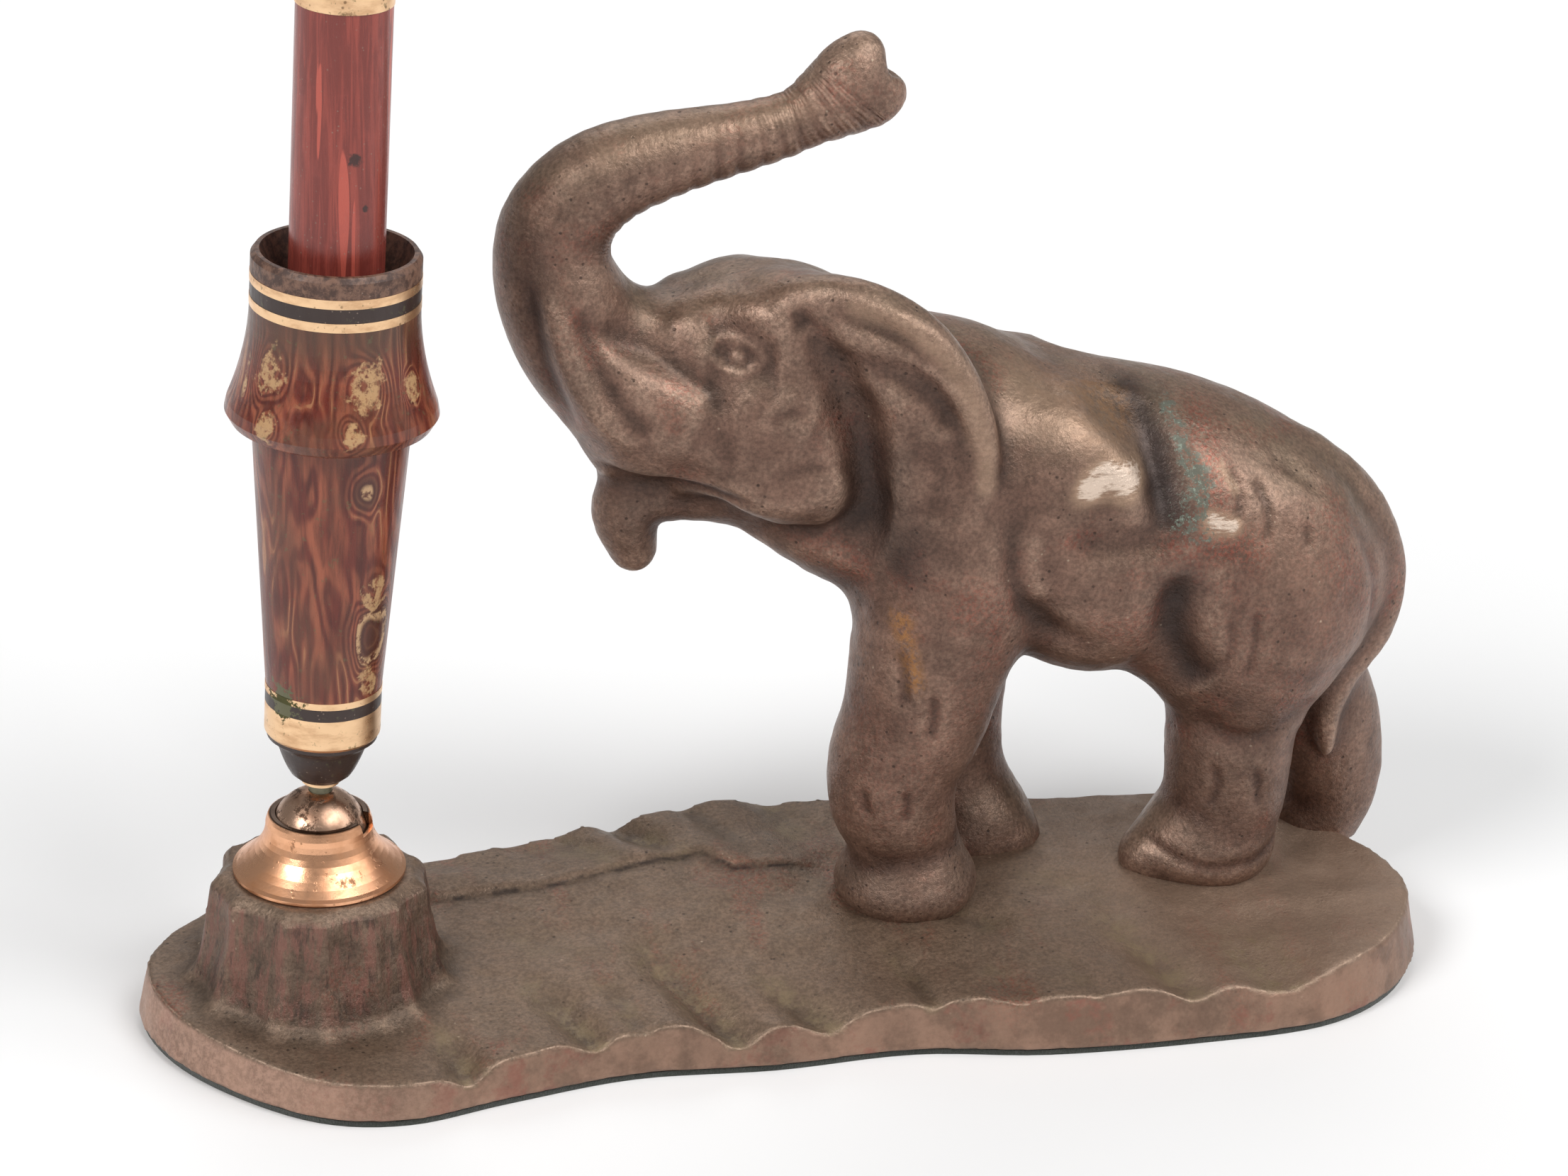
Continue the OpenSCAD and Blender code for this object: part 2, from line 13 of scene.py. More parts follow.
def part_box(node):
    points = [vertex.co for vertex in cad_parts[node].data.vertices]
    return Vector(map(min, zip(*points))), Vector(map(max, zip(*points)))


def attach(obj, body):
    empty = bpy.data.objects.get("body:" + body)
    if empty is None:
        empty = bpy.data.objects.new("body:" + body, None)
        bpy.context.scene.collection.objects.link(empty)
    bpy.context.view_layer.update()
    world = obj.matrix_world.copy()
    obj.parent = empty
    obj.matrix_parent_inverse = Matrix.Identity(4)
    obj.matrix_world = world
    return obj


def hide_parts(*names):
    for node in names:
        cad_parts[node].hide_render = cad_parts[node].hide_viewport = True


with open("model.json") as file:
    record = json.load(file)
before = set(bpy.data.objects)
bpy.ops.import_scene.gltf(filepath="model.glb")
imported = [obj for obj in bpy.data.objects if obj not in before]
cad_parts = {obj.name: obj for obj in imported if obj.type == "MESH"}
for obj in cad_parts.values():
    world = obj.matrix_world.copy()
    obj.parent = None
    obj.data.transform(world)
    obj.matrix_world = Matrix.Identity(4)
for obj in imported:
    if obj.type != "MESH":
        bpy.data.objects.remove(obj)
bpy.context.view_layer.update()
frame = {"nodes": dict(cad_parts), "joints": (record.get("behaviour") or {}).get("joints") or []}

MM = 0.001
# Keeps a division away from zero
TINY = 1e-6


def in_mm(vector):
    return np.array(vector, float) / MM


# ---- Places taken from the frame ----
joints = {joint["name"]: joint for joint in frame["joints"]}
ball_centre = in_mm(joints["swivel_turn"]["pos_m"])
elephant_low, elephant_high = (in_mm(corner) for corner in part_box("elephant"))
base_low, base_high = (in_mm(corner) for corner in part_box("base_casting"))
ground_z = elephant_low[2]
stump_z = base_high[2]
felt_z = base_low[2]
# The elephant's middle plane
middle_y = 13.0


# ---- Sculpting clay ----
class Clay:
    """A solid kept as distances on a grid of cells: shapes are added and carved with soft joints."""

    def __init__(self, low, high, cell):
        self.low = np.array(low, float)
        self.cell = cell
        counts = np.ceil((np.array(high, float) - self.low) / cell).astype(int) + 1
        self.axes = [self.low[i] + cell * np.arange(counts[i]) for i in range(3)]
        self.field = np.full(counts, 50.0, np.float32)

    def block(self, low, high, margin):
        """The part of the grid around a shape, and the coordinates in it."""
        window = []
        for i in range(3):
            first = int(np.searchsorted(self.axes[i], low[i] - margin))
            last = int(np.searchsorted(self.axes[i], high[i] + margin))
            window.append(slice(max(first, 0), max(last, first + 1)))
        x, y, z = (self.axes[i][window[i]].astype(np.float32) for i in range(3))
        return tuple(window), (x[:, None, None], y[None, :, None], z[None, None, :])

    def add(self, low, high, shape, soft):
        window, place = self.block(low, high, soft + 3)
        self.field[window] = soft_min(self.field[window], shape(*place), soft)

    def carve(self, low, high, shape, soft):
        window, place = self.block(low, high, soft + 3)
        self.field[window] = -soft_min(-self.field[window], shape(*place), soft)

    def limb(self, balls, soft, carve=False):
        """A round limb, or a groove, that runs smoothly through balls of (x, y, z, radius)."""
        path = curve_through(balls, 4 if len(balls) > 2 else 1, False)
        low, high = (path[:, :3] - path[:, 3:]).min(0), (path[:, :3] + path[:, 3:]).max(0)

        def shape(x, y, z):
            nearest = np.full(np.broadcast_shapes(x.shape, y.shape, z.shape), 99.0, np.float32)
            for a, b in zip(path[:-1], path[1:]):
                nearest = np.minimum(nearest, cone(a, b)(x, y, z))
            return nearest
        (self.carve if carve else self.add)(low, high, shape, soft)

    def lump(self, centre, half, soft, turn=0.0, carve=False):
        """An ellipsoid with half sizes, turned about Y by degrees."""
        reach = max(half)
        low, high = np.array(centre) - reach, np.array(centre) + reach
        (self.carve if carve else self.add)(low, high, ellipsoid(centre, half, turn), soft)


def soft_min(a, b, k):
    """The smaller of two distances, blended where they differ by less than k."""
    h = np.clip(0.5 + 0.5 * (b - a) / k, 0, 1)
    return b + (a - b) * h - k * h * (1 - h)


def cone(a, b):
    """Distance to a round bar between two balls of (x, y, z, radius)."""
    axis = b[:3] - a[:3]
    length2 = float(axis @ axis)

    def shape(x, y, z):
        t = ((x - a[0]) * axis[0] + (y - a[1]) * axis[1] + (z - a[2]) * axis[2]) / length2
        t = np.clip(t, 0, 1)
        dx, dy, dz = x - a[0] - t * axis[0], y - a[1] - t * axis[1], z - a[2] - t * axis[2]
        return np.sqrt(dx * dx + dy * dy + dz * dz) - (a[3] + (b[3] - a[3]) * t)
    return shape


def ellipsoid(centre, half, turn):
    """Distance to an ellipsoid, near enough close to its surface."""
    c, s = math.cos(math.radians(turn)), math.sin(math.radians(turn))

    def shape(x, y, z):
        dx, dy, dz = x - centre[0], y - centre[1], z - centre[2]
        dx, dz = c * dx - s * dz, s * dx + c * dz
        near = np.sqrt((dx / half[0]) ** 2 + (dy / half[1]) ** 2 + (dz / half[2]) ** 2)
        squares = (dx / half[0] ** 2) ** 2 + (dy / half[1] ** 2) ** 2 + (dz / half[2] ** 2) ** 2
        slope = np.sqrt(squares) + TINY
        return np.where(near < 1e-3, -min(half), near * (near - 1) / slope)
    return shape


def skin_of(clay):
    """The surface of the clay as points and quads: one point in each cell that the surface crosses."""
    field = clay.field
    inside = field < 0
    shape = tuple(n - 1 for n in field.shape)
    total = np.zeros(shape, np.int8)
    for i in (0, 1):
        for j in (0, 1):
            for k in (0, 1):
                total += inside[i:shape[0] + i, j:shape[1] + j, k:shape[2] + k]
    active = (total > 0) & (total < 8)
    index = np.full(shape, -1, np.int64)
    cells = np.argwhere(active)
    index[active] = np.arange(len(cells))
    sums = np.zeros((len(cells), 3))
    hits = np.zeros(len(cells))
    for axis in range(3):
        others = [other for other in range(3) if other != axis]
        for p in (0, 1):
            for q in (0, 1):
                start = cells.copy()
                start[:, others[0]] += p
                start[:, others[1]] += q
                end = start.copy()
                end[:, axis] += 1
                a, b = field[tuple(start.T)], field[tuple(end.T)]
                cross = (a < 0) != (b < 0)
                point = start.astype(float)
                point[:, axis] += np.where(cross, a / np.where(cross, a - b, 1), 0)
                sums += point * cross[:, None]
                hits += cross
    points = clay.low + clay.cell * sums / hits[:, None]
    quads = []
    for axis, (u, v) in enumerate(((1, 2), (2, 0), (0, 1))):
        window = [slice(1, -1)] * 3
        window[axis] = slice(0, field.shape[axis] - 1)
        ahead = list(window)
        ahead[axis] = slice(1, field.shape[axis])
        cross = inside[tuple(window)] != inside[tuple(ahead)]
        at = np.argwhere(cross) + np.array([0 if i == axis else 1 for i in range(3)])
        corners = []
        for p, q in ((1, 1), (0, 1), (0, 0), (1, 0)):
            corner = at.copy()
            corner[:, u] -= p
            corner[:, v] -= q
            corners.append(index[tuple(corner.T)])
        quad = np.stack(corners, 1)
        back = ~inside[tuple(at.T)]
        quad[back] = quad[back][:, ::-1]
        quads.append(quad)
    return points, np.concatenate(quads)


def neighbour_pairs(quads):
    """Both ends of every quad side, in both directions."""
    sides = np.concatenate([quads[:, [i, (i + 1) % 4]] for i in range(4)])
    return np.concatenate([sides[:, 0], sides[:, 1]]), np.concatenate([sides[:, 1], sides[:, 0]])


def neighbour_mean(values, pairs, rounds, share=1.0):
    """Each point's value moved by share towards the mean of its neighbours."""
    start, end = pairs
    count = np.bincount(start, minlength=len(values))
    flat = values.reshape(len(values), -1)
    for _ in range(rounds):
        mean = np.stack([np.bincount(start, column[end], len(flat)) / count for column in flat.T], 1)
        flat = flat + share * (mean - flat)
    return flat.reshape(values.shape)


def normals_of(points, quads):
    """The unit normal at each point, from the quads around it."""
    cross = np.cross(points[quads[:, 2]] - points[quads[:, 0]], points[quads[:, 3]] - points[quads[:, 1]])
    corners = quads.ravel()
    sums = [np.bincount(corners, np.repeat(cross[:, i], 4), len(points)) for i in range(3)]
    out = np.stack(sums, 1)
    return out / (np.linalg.norm(out, axis=1)[:, None] + 1e-12)


def lattice(i, j, k, seed):
    """A repeatable number from 0 to 1 for each whole-number place."""
    h = (i * 374761393 + j * 668265263 + k * 2147483647 + seed * 1274126177) & 0xFFFFFFFF
    h = ((h ^ (h >> 13)) * 1274126177) & 0xFFFFFFFF
    return ((h ^ (h >> 16)) & 0xFFFF) / 65535.0


def noise(points, size, seed=0):
    """Smooth noise from -1 to 1, with features about size across; size may differ by axis."""
    q = points / size
    base = np.floor(q).astype(np.int64)
    f = q - base
    f = f * f * (3 - 2 * f)
    total = 0
    for i in (0, 1):
        for j in (0, 1):
            for k in (0, 1):
                share = np.prod(np.where((i, j, k), f, 1 - f), axis=1)
                total = total + share * lattice(base[:, 0] + i, base[:, 1] + j, base[:, 2] + k, seed)
    return 2 * total - 1


def smooth_step(value, low, high):
    t = np.clip((value - low) / (high - low), 0, 1)
    return t * t * (3 - 2 * t)


def curve_through(points, steps, closed):
    """A smooth curve through points, with steps pieces between each two."""
    points = np.array(points, float)
    n = len(points)
    out = []
    for i in range(n if closed else n - 1):
        if closed:
            a, b, c, d = (points[(i + k) % n] for k in (-1, 0, 1, 2))
        else:
            a, b, c, d = (points[min(max(i + k, 0), n - 1)] for k in (-1, 0, 1, 2))
        for t in np.arange(steps) / steps:
            out.append(0.5 * (2 * b + (c - a) * t + (2 * a - 5 * b + 4 * c - d) * t ** 2
                              + (3 * b - a - 3 * c + d) * t ** 3))
    if not closed:
        out.append(points[-1])
    return np.array(out)


def outline_distance(x, y, outline):
    """Distance in a plane to a closed outline, negative inside."""
    nearest = np.full(x.shape, 1e9)
    inside = np.zeros(x.shape, bool)
    for a, b in zip(outline, np.roll(outline, -1, 0)):
        along = b - a
        dx, dy = x - a[0], y - a[1]
        t = np.clip((dx * along[0] + dy * along[1]) / (along @ along), 0, 1)
        nearest = np.minimum(nearest, (dx - t * along[0]) ** 2 + (dy - t * along[1]) ** 2)
        spans = (a[1] > y) != (b[1] > y)
        inside ^= spans & (x < along[0] * (y - a[1]) / (along[1] if along[1] else 1e-9) + a[0])
    return np.where(inside, -1, 1) * np.sqrt(nearest)


def line_distance(x, y, line):
    """Distance to an open line in a plane, and how far along it the nearest place is, from 0 to 1."""
    nearest = np.full(np.shape(x), 1e9)
    share = np.zeros(np.shape(x))
    steps = len(line) - 1
    for i in range(steps):
        a, along = line[i], line[i + 1] - line[i]
        t = np.clip(((x - a[0]) * along[0] + (y - a[1]) * along[1]) / (along @ along), 0, 1)
        gap = (x - a[0] - t * along[0]) ** 2 + (y - a[1] - t * along[1]) ** 2
        share = np.where(gap < nearest, (i + t) / steps, share)
        nearest = np.minimum(nearest, gap)
    return np.sqrt(nearest), share


def mesh_piece(name, points, quads, attributes):
    """A smooth-shaded mesh object, from millimetre points, with a number at each point by name."""
    mesh = bpy.data.meshes.new(name)
    mesh.from_pydata((points * MM).tolist(), [], quads.tolist())
    mesh.polygons.foreach_set("use_smooth", np.ones(len(mesh.polygons), bool))
    for key, values in attributes.items():
        layer = mesh.attributes.new(key, "FLOAT", "POINT")
        layer.data.foreach_set("value", np.asarray(values, np.float32))
    mesh.update()
    piece = bpy.data.objects.new(name, mesh)
    bpy.context.scene.collection.objects.link(piece)
    return piece


def relief(points, quads, reach):
    """How far each point stands above its surroundings, in millimetres: ridges above 0, hollows below."""
    pairs = neighbour_pairs(quads)
    around = neighbour_mean(points, pairs, reach)
    return ((points - around) * normals_of(points, quads)).sum(1)


# ---- Elephant ----
NEAR, FAR = -1, 1
FIGURE_CELL = 0.62
# Depth of the far flank that is squeezed to fit the elephant's box, and the room left beyond it
FLANK_DEPTH = 9
FLANK_SPARE = 0.4
# Trunk rings: spacing and depth of the cast ones, and spacing of the fine ones
RING_SPACING = 2.7
RING_DEPTH = 0.16
FINE_RING_SPACING = 0.95
# Balls along the trunk: x, distance outwards from the middle plane, z, radius
TRUNK = [(-14, 0, 83, 12), (-20, 0, 85, 11.2), (-25.6, 0, 89, 9.9), (-29.8, 0, 94.4, 8.7),
         (-32.2, 0, 100.2, 7.8), (-31.8, 0, 106, 7.4), (-28.9, 0, 110.6, 7.0), (-24.3, 0, 113.7, 6.4),
         (-18, 0, 115.7, 5.7), (-11.5, 0, 117.0, 5.0), (-5, 0, 118.3, 4.4), (0, 0, 119.9, 4.1),
         (4, 0, 122.4, 4.3), (6.4, 0, 124.8, 4.5)]
# The near ear: outline in (x, z), then balls for its rim, the groove beside it and the mass behind it
EAR_EDGE = [(-2, 99.5), (3, 101), (9, 100), (15, 96.6), (20.2, 90), (23.4, 82), (23.2, 75), (20, 68.4),
            (15, 63.4), (11.4, 64.2), (9.4, 68.5), (8.4, 75.5), (6.4, 82.5), (3.0, 88), (-0.6, 93)]
EAR_RIM = [(-1, 10, 98.2, 2.6), (3.4, 12, 99.4, 2.6), (9, 14, 98.6, 2.5), (14.6, 15.8, 95, 2.4),
           (19, 17.2, 89.2, 2.2), (21.8, 18, 82.6, 1.8), (22.2, 18, 76, 1.5), (20, 17.4, 70, 1.3),
           (16.4, 16.6, 65.6, 1.2)]
EAR_GROOVE = [(-1.4, 15.2, 97.6, 1.1), (0.4, 15.2, 94, 1.8), (3.4, 15.4, 88.4, 2.2),
              (6.0, 15.2, 82.6, 2.5), (7.6, 15, 76, 2.7), (8.0, 14.6, 70, 2.7), (6.6, 14.2, 64.4, 2.4)]
EAR_BACKING = [(-2, 7, 95, 6), (5, 9.5, 94, 7), (12, 11.5, 90, 7), (16.5, 12.5, 83, 6.5),
               (17, 12.5, 75, 5), (15, 12, 68, 3.5)]
# Across the ear at each level: where it leaves the neck and where its rim is, both in x
EAR_LEVELS = [60, 66, 74, 82, 90, 99]
EAR_ROOT = [9.5, 9.4, 8.6, 6.4, 1.5, -3]
EAR_OUTER = [13, 20, 23, 22.5, 19, 10]
# How much lower and nearer the neck the far ear is
FAR_EAR_DOWN = 9
FAR_EAR_IN = 3


def from_middle(balls, side=FAR):
    """Balls given by their distance outwards from the elephant's middle plane."""
    return [(x, middle_y + side * out, z, r) for x, out, z, r in balls]


def ear(clay, side):
    """A flap that stands off the neck, with a thick rolled rim that runs smoothly back into the neck."""
    drop, tuck = (0, 0) if side == NEAR else (FAR_EAR_DOWN, FAR_EAR_IN)
    outline = curve_through(np.array(EAR_EDGE, float) - [0, drop], 4, True)

    def shape(x, y, z):
        flat = outline_distance(x[:, 0, :] + 0 * z[0], z[0] + 0 * x[:, 0, :], outline)[:, None, :]
        root = np.interp(z + drop, EAR_LEVELS, EAR_ROOT)
        rim = np.interp(z + drop, EAR_LEVELS, EAR_OUTER)
        t = np.clip((x - root) / (rim - root), 0, 1)
        dish = 1.2 * np.sin(np.pi * np.clip(t * 1.1, 0, 1))
        sheet = np.abs((y - middle_y) * side - (9.0 - tuck + 8.6 * t - dish)) * 0.9 - 1.3
        return np.maximum(flat, sheet) + 0.35 * np.exp(-np.abs(flat - sheet))

    def moved(balls):
        return from_middle([(x, out - tuck, z - drop, r) for x, out, z, r in balls], side)

    ear_y = middle_y + side * 14
    clay.limb(moved(EAR_BACKING), 4)
    clay.limb(moved(EAR_GROOVE), 3.0, carve=True)
    clay.add((-4, ear_y - 9, 50), (26, ear_y + 9, 103), shape, 2.0)
    clay.limb(moved(EAR_RIM), 2.2)


def body_masses(clay):
    """The barrel of the body, then shoulder blade, flank, haunches and belly laid on it."""
    spine = [(12, 0, 70.6, 15.5), (21, 0, 70.3, 17.8), (31, 0, 66.4, 18.9), (42, 0, 63.9, 19.4),
             (53, 0, 60.9, 19.4), (62, 0, 57.2, 18.2), (70, 0, 51.9, 15.7)]
    clay.limb(from_middle(spine), 3)
    clay.lump((42, middle_y, 56.5), (17, 15.5, 15.5), 8, turn=8)
    for side in (NEAR, FAR):
        clay.lump((20.5, middle_y + side * 7.5, 64), (10.5, 12.2, 18), 5, turn=-8)
        clay.lump((34.5, middle_y + side * 9.6, 73.4), (9.5, 9.0, 10.6), 5, turn=-25)
        clay.lump((40.5, middle_y + side * 8.8, 57), (11, 10.4, 13.5), 4, turn=-10)
        clay.lump((62.6, middle_y + side * 7.2, 52.8), (17.6, 12.6, 19), 3.5, turn=18)


def head_masses(clay):
    clay.limb([(2, middle_y, 82, 14), (18, middle_y, 74, 16.5)], 6)
    clay.lump((-3.5, middle_y, 85.2), (14.5, 13.2, 14.6), 6, turn=-15)
    clay.limb(from_middle([(-9, 0, 84, 12.4), (-18, 0, 84, 11.2)]), 6)
    clay.limb(from_middle([(-15, 8, 88.0, 5), (-8, 9, 89.6, 5.4), (-1, 10, 89.6, 6)]), 5)
    for side in (NEAR, FAR):
        clay.lump((-4, middle_y + side * 6, 74.6), (12.5, 8.6, 8.8), 5, turn=12)
        clay.limb(from_middle([(-20, 5, 78.5, 5.8), (-22.5, 3, 75.8, 4.4)], side), 4)
        clay.limb(from_middle([(-30, 3.4, 99, 5.4), (-29, 5.0, 92, 5.6), (-25, 6.2, 84.5, 5.6),
                               (-20.5, 6, 79.5, 5)], side), 2.6)
    clay.limb(from_middle([(-6, 0, 73, 9), (8, 0, 67, 11), (16, 0, 61, 10.5)]), 5)
    clay.limb(from_middle(TRUNK), 3)
    clay.limb(from_middle([(-8, 0, 72, 7.5), (-18.5, 0, 69.5, 5.6), (-21.6, 0, 66, 4.8),
                           (-20.6, 0, 60.2, 3.3)]), 2.8)


def trunk_tip(clay):
    """The trunk's end: an upper lobe, a lower lobe and the hollow between them."""
    clay.limb(from_middle([(4.6, 0, 123, 4.4), (7.2, 0, 127, 3.8), (8.2, 0, 128.5, 3.1)]), 2)
    clay.limb(from_middle([(4, 0, 121.6, 4.0), (9.2, 0, 121.9, 3.6), (11.4, 0, 122.9, 3.0)]), 2)
    clay.limb(from_middle([(8.6, 0, 125.6, 3.6), (10, 0, 124, 3.4)]), 1.5)
    clay.lump((12.4, middle_y, 127), (1.9, 2.0, 1.5), 1.2, turn=-45, carve=True)


def leg_masses(clay):
    near_front = [(22, 7, 58, 13), (19, 9, 47, 11), (17.2, 9.2, 38, 10.0), (14.7, 9.3, 31, 9.2),
                  (14.4, 9.3, 25, 8.7), (16.4, 9, 18.8, 7.5), (17, 8.6, 14.6, 8.0)]
    far_front = [(25, 7, 56, 12), (26.2, 8.5, 40, 9.0), (26.2, 8.5, 28, 7.8), (27.2, 8, 19, 7.8),
                 (29.5, 6, 13, 8.2)]
    near_hind = [(66, 5.5, 46, 13), (63.6, 6, 34, 9.6), (63.2, 6.2, 27, 8.9), (63.0, 6.2, 20.5, 8.5),
                 (61.5, 6, 16, 8.2)]
    far_hind = [(73, 4.5, 46, 12.5), (76.8, 5, 34, 9.2), (80, 5.5, 26.5, 8.6), (82.2, 6, 19.5, 7.9),
                (82.6, 6, 14, 7.0), (81, 6, 9.5, 6.6)]
    for balls, side in ((near_front, NEAR), (far_front, FAR), (near_hind, NEAR), (far_hind, FAR)):
        clay.limb(from_middle(balls, side), 3.5)
    clay.lump((17.0, middle_y - 8.7, 11.7), (9.8, 9.7, 5.2), 3.6)
    clay.lump((60.6, middle_y - 6.2, 12.6), (9.6, 9.2, 6.0), 3.4)
    clay.limb(from_middle([(60, 6.4, 15.5, 5.5), (52.6, 6.6, 11.4, 4.4)], NEAR), 2.6)
    clay.limb(from_middle([(28, 8, 15.5, 6.2), (35, 2.4, 10.4, 4.2)]), 4)
    clay.lump((29, middle_y + 7.6, 11), (9.5, 9, 3.4), 3)


def tail_mass(clay):
    tail = [(62, 1.5, 70.6, 4.0), (69, 1.5, 69.2, 4.6), (75.2, 1.5, 65.4, 4.9), (80.2, 1.6, 60, 4.9),
            (83.2, 1.8, 54.2, 4.6), (84.4, 2, 48.4, 4.1), (83.8, 2.4, 43.8, 3.6), (82, 2.9, 40, 3.0),
            (80, 3.4, 36.8, 2.5), (78.7, 3.9, 33.5, 2.1), (78.1, 4.1, 30, 1.8), (78.2, 4.1, 26.8, 1.5),
            (78.4, 4.1, 24.6, 1.0)]
    clay.limb(from_middle(tail, NEAR), 1.6)


# Strokes on each side: line of (x, z), half width, height, nearest and farthest reach from the middle
FACE_STROKES = [
    ([(-36.6, 102), (-35.6, 96.6), (-34.2, 90.2), (-31.9, 84.5), (-30.2, 80)], 1.1, -1.0, (0, 16)),
    ([(-33.8, 100.6), (-32.6, 95), (-30.8, 89.6), (-27.4, 84), (-23, 79)], 1.7, 1.1, (0, 16)),
    ([(-30.4, 99), (-29, 94), (-26.4, 88.4), (-23.2, 83.8), (-21.4, 81.4)], 1.7, -0.8, (0, 16)),
    ([(-30.5, 98), (-26, 95), (-21.5, 92.8), (-17, 90.2), (-13.1, 87.3), (-9.7, 85.4)], 2.4, -1.5, (0, 16)),
    ([(-25, 88.5), (-19, 84.6), (-14, 82.4)], 4.0, 0.8, (0, 16)),
    ([(-21.5, 81), (-15.5, 79.2), (-11, 78.6)], 2.4, 0.5, (0, 16)),
    ([(-12.6, 86.5), (-12.0, 82.4), (-12.2, 77)], 1.8, -0.45, (0, 16)),
    ([(-14, 91.2), (-9.3, 90.8), (-4, 90.8)], 3.8, -1.1, (0, 16)),
    ([(-17, 93.6), (-13, 96.4), (-7.4, 97.2), (-2.0, 95.3)], 2.2, 0.9, (0, 16)),
    ([(-6, 86), (-3, 83.6), (0.5, 82)], 3.4, 0.6, (0, 16)),
    ([(-2.4, 98.6), (-1, 95.6)], 1.4, -0.8, (0, 15)),
    ([(-27.6, 75.8), (-24.4, 73.8), (-19.8, 73.3), (-11.4, 72.2), (-7, 71.8)], 1.1, -1.1, (0, 16)),
    ([(-25.4, 72.6), (-21, 71.8), (-16, 71.5)], 1.8, -0.9, (0, 16)),
    ([(-12, 74), (-5.5, 71.3), (0.5, 72.3), (4.6, 76)], 2.4, 0.8, (0, 16)),
    ([(-18, 69.0), (-12.3, 68.8), (-6.9, 65.9), (-3, 64.8), (3.2, 65.8), (8.4, 70.6)], 2.2, -2.3, (0, 16)),
    ([(-6, 83.6), (-3.4, 84.8), (-0.6, 84.4)], 0.9, -0.35, (0, 16)),
    ([(-5, 75.4), (-1.5, 76.8), (2.6, 76.6)], 0.9, -0.4, (0, 16)),
]
EYE_STROKES = [
    ([(-10.6, 91.5), (-8.6, 91.7)], 2.2, 0.35, (0, 16)),
    ([(-13.2, 91.8), (-11.6, 93.4), (-9.4, 93.9), (-7.3, 93.1), (-6.2, 91.5), (-7.6, 90.1), (-9.8, 89.5),
      (-11.9, 90.3), (-13.2, 91.8)], 0.45, 0.3, (0, 16)),
    ([(-10.8, 91.6), (-9.8, 92.6), (-8.6, 92.3), (-8.1, 91.3), (-9, 90.5), (-10.3, 90.6), (-10.8, 91.6)],
     0.4, -0.26, (0, 16)),
]
EAR_STROKES = [
    ([(1.3, 93.6), (6.1, 91.8), (11.9, 89.3), (16.2, 85.6), (18, 82)], 1.9, -0.85, (7, 30)),
    ([(2.2, 96.9), (6.9, 95.1), (11.7, 93.4), (16.6, 89.7), (19.6, 85.1), (21.3, 80.5)], 1.2, 0.7, (7, 30)),
    ([(9.2, 90), (10.4, 84.3), (11, 78.3), (10.6, 71.3)], 2.2, 0.7, (9, 30)),
    ([(15.6, 82), (16.6, 76), (15.4, 70)], 2.2, -0.5, (9, 30)),
]
BODY_STROKES = [
    ([(26.4, 71), (26.9, 65), (27.9, 60), (30.4, 55.2), (34.8, 51.3), (40.5, 49)], 2.0, -1.1, (6, 30)),
    ([(29.5, 68), (29.8, 62), (31.6, 57)], 1.8, 0.45, (6, 30)),
    ([(37, 85), (41, 82.2), (45.2, 77.8), (47.4, 72.6), (47.6, 66)], 3.0, -2.4, (7, 30)),
    ([(36, 83), (41.4, 78.6), (43.6, 72.4), (43, 67)], 3.0, 1.1, (6, 30)),
    ([(34, 66.6), (40, 65.2), (46, 65.4), (52, 67)], 2.2, -0.7, (6, 30)),
    ([(50.9, 60.5), (50.0, 55.3), (50.6, 50.4), (53.1, 44.7), (55.5, 42)], 3.0, -1.8, (4, 30)),
    ([(56, 63), (55.4, 57), (55.8, 50), (58, 45)], 2.6, 0.5, (6, 30)),
    ([(64, 73.4), (69.6, 68.6), (74.4, 63.6), (78.6, 58), (81, 51.4), (80.6, 45.4)], 1.5, -1.3, (0, 12)),
    ([(57.6, 73.8), (58.8, 70), (58, 66.4)], 0.7, -0.4, (8, 30)),
    ([(61.2, 71.8), (62.8, 67.6), (62, 63.4)], 0.7, -0.45, (8, 30)),
    ([(68.4, 65.4), (68.6, 62.4)], 0.6, -0.35, (8, 30)),
    ([(57.4, 54), (58, 49), (57.2, 45.4)], 0.6, -0.3, (8, 30)),
    ([(61, 55), (61.4, 49), (60.6, 43.4)], 0.6, -0.35, (8, 30)),
    ([(12.4, 51.4), (13.1, 46), (13.1, 42.9)], 0.8, -0.5, (8, 30)),
    ([(16.9, 45.1), (17.2, 41), (16.9, 37.7)], 0.8, -0.5, (8, 30)),
    ([(8.6, 29.8), (8.8, 27.6), (9.4, 25.8)], 0.7, -0.4, (8, 30)),
    ([(13.9, 30), (14.4, 27.6), (14.3, 25.2)], 0.7, -0.4, (8, 30)),
    ([(58.7, 28.6), (59.4, 25.4), (58.6, 22)], 0.7, -0.4, (8, 30)),
    ([(64.4, 28.2), (65.2, 25), (65, 22)], 0.7, -0.4, (8, 30)),
    ([(55, 37), (61, 33.2), (68, 34.4), (73, 38)], 2.0, -0.8, (5, 30)),
    ([(6, 20.6), (12, 18.6), (20, 18.8), (27, 21)], 1.6, -0.3, (6, 30)),
    ([(50, 16.2), (57, 13.6), (66, 13.8), (71, 15.6)], 0.9, -0.45, (4, 30)),
]
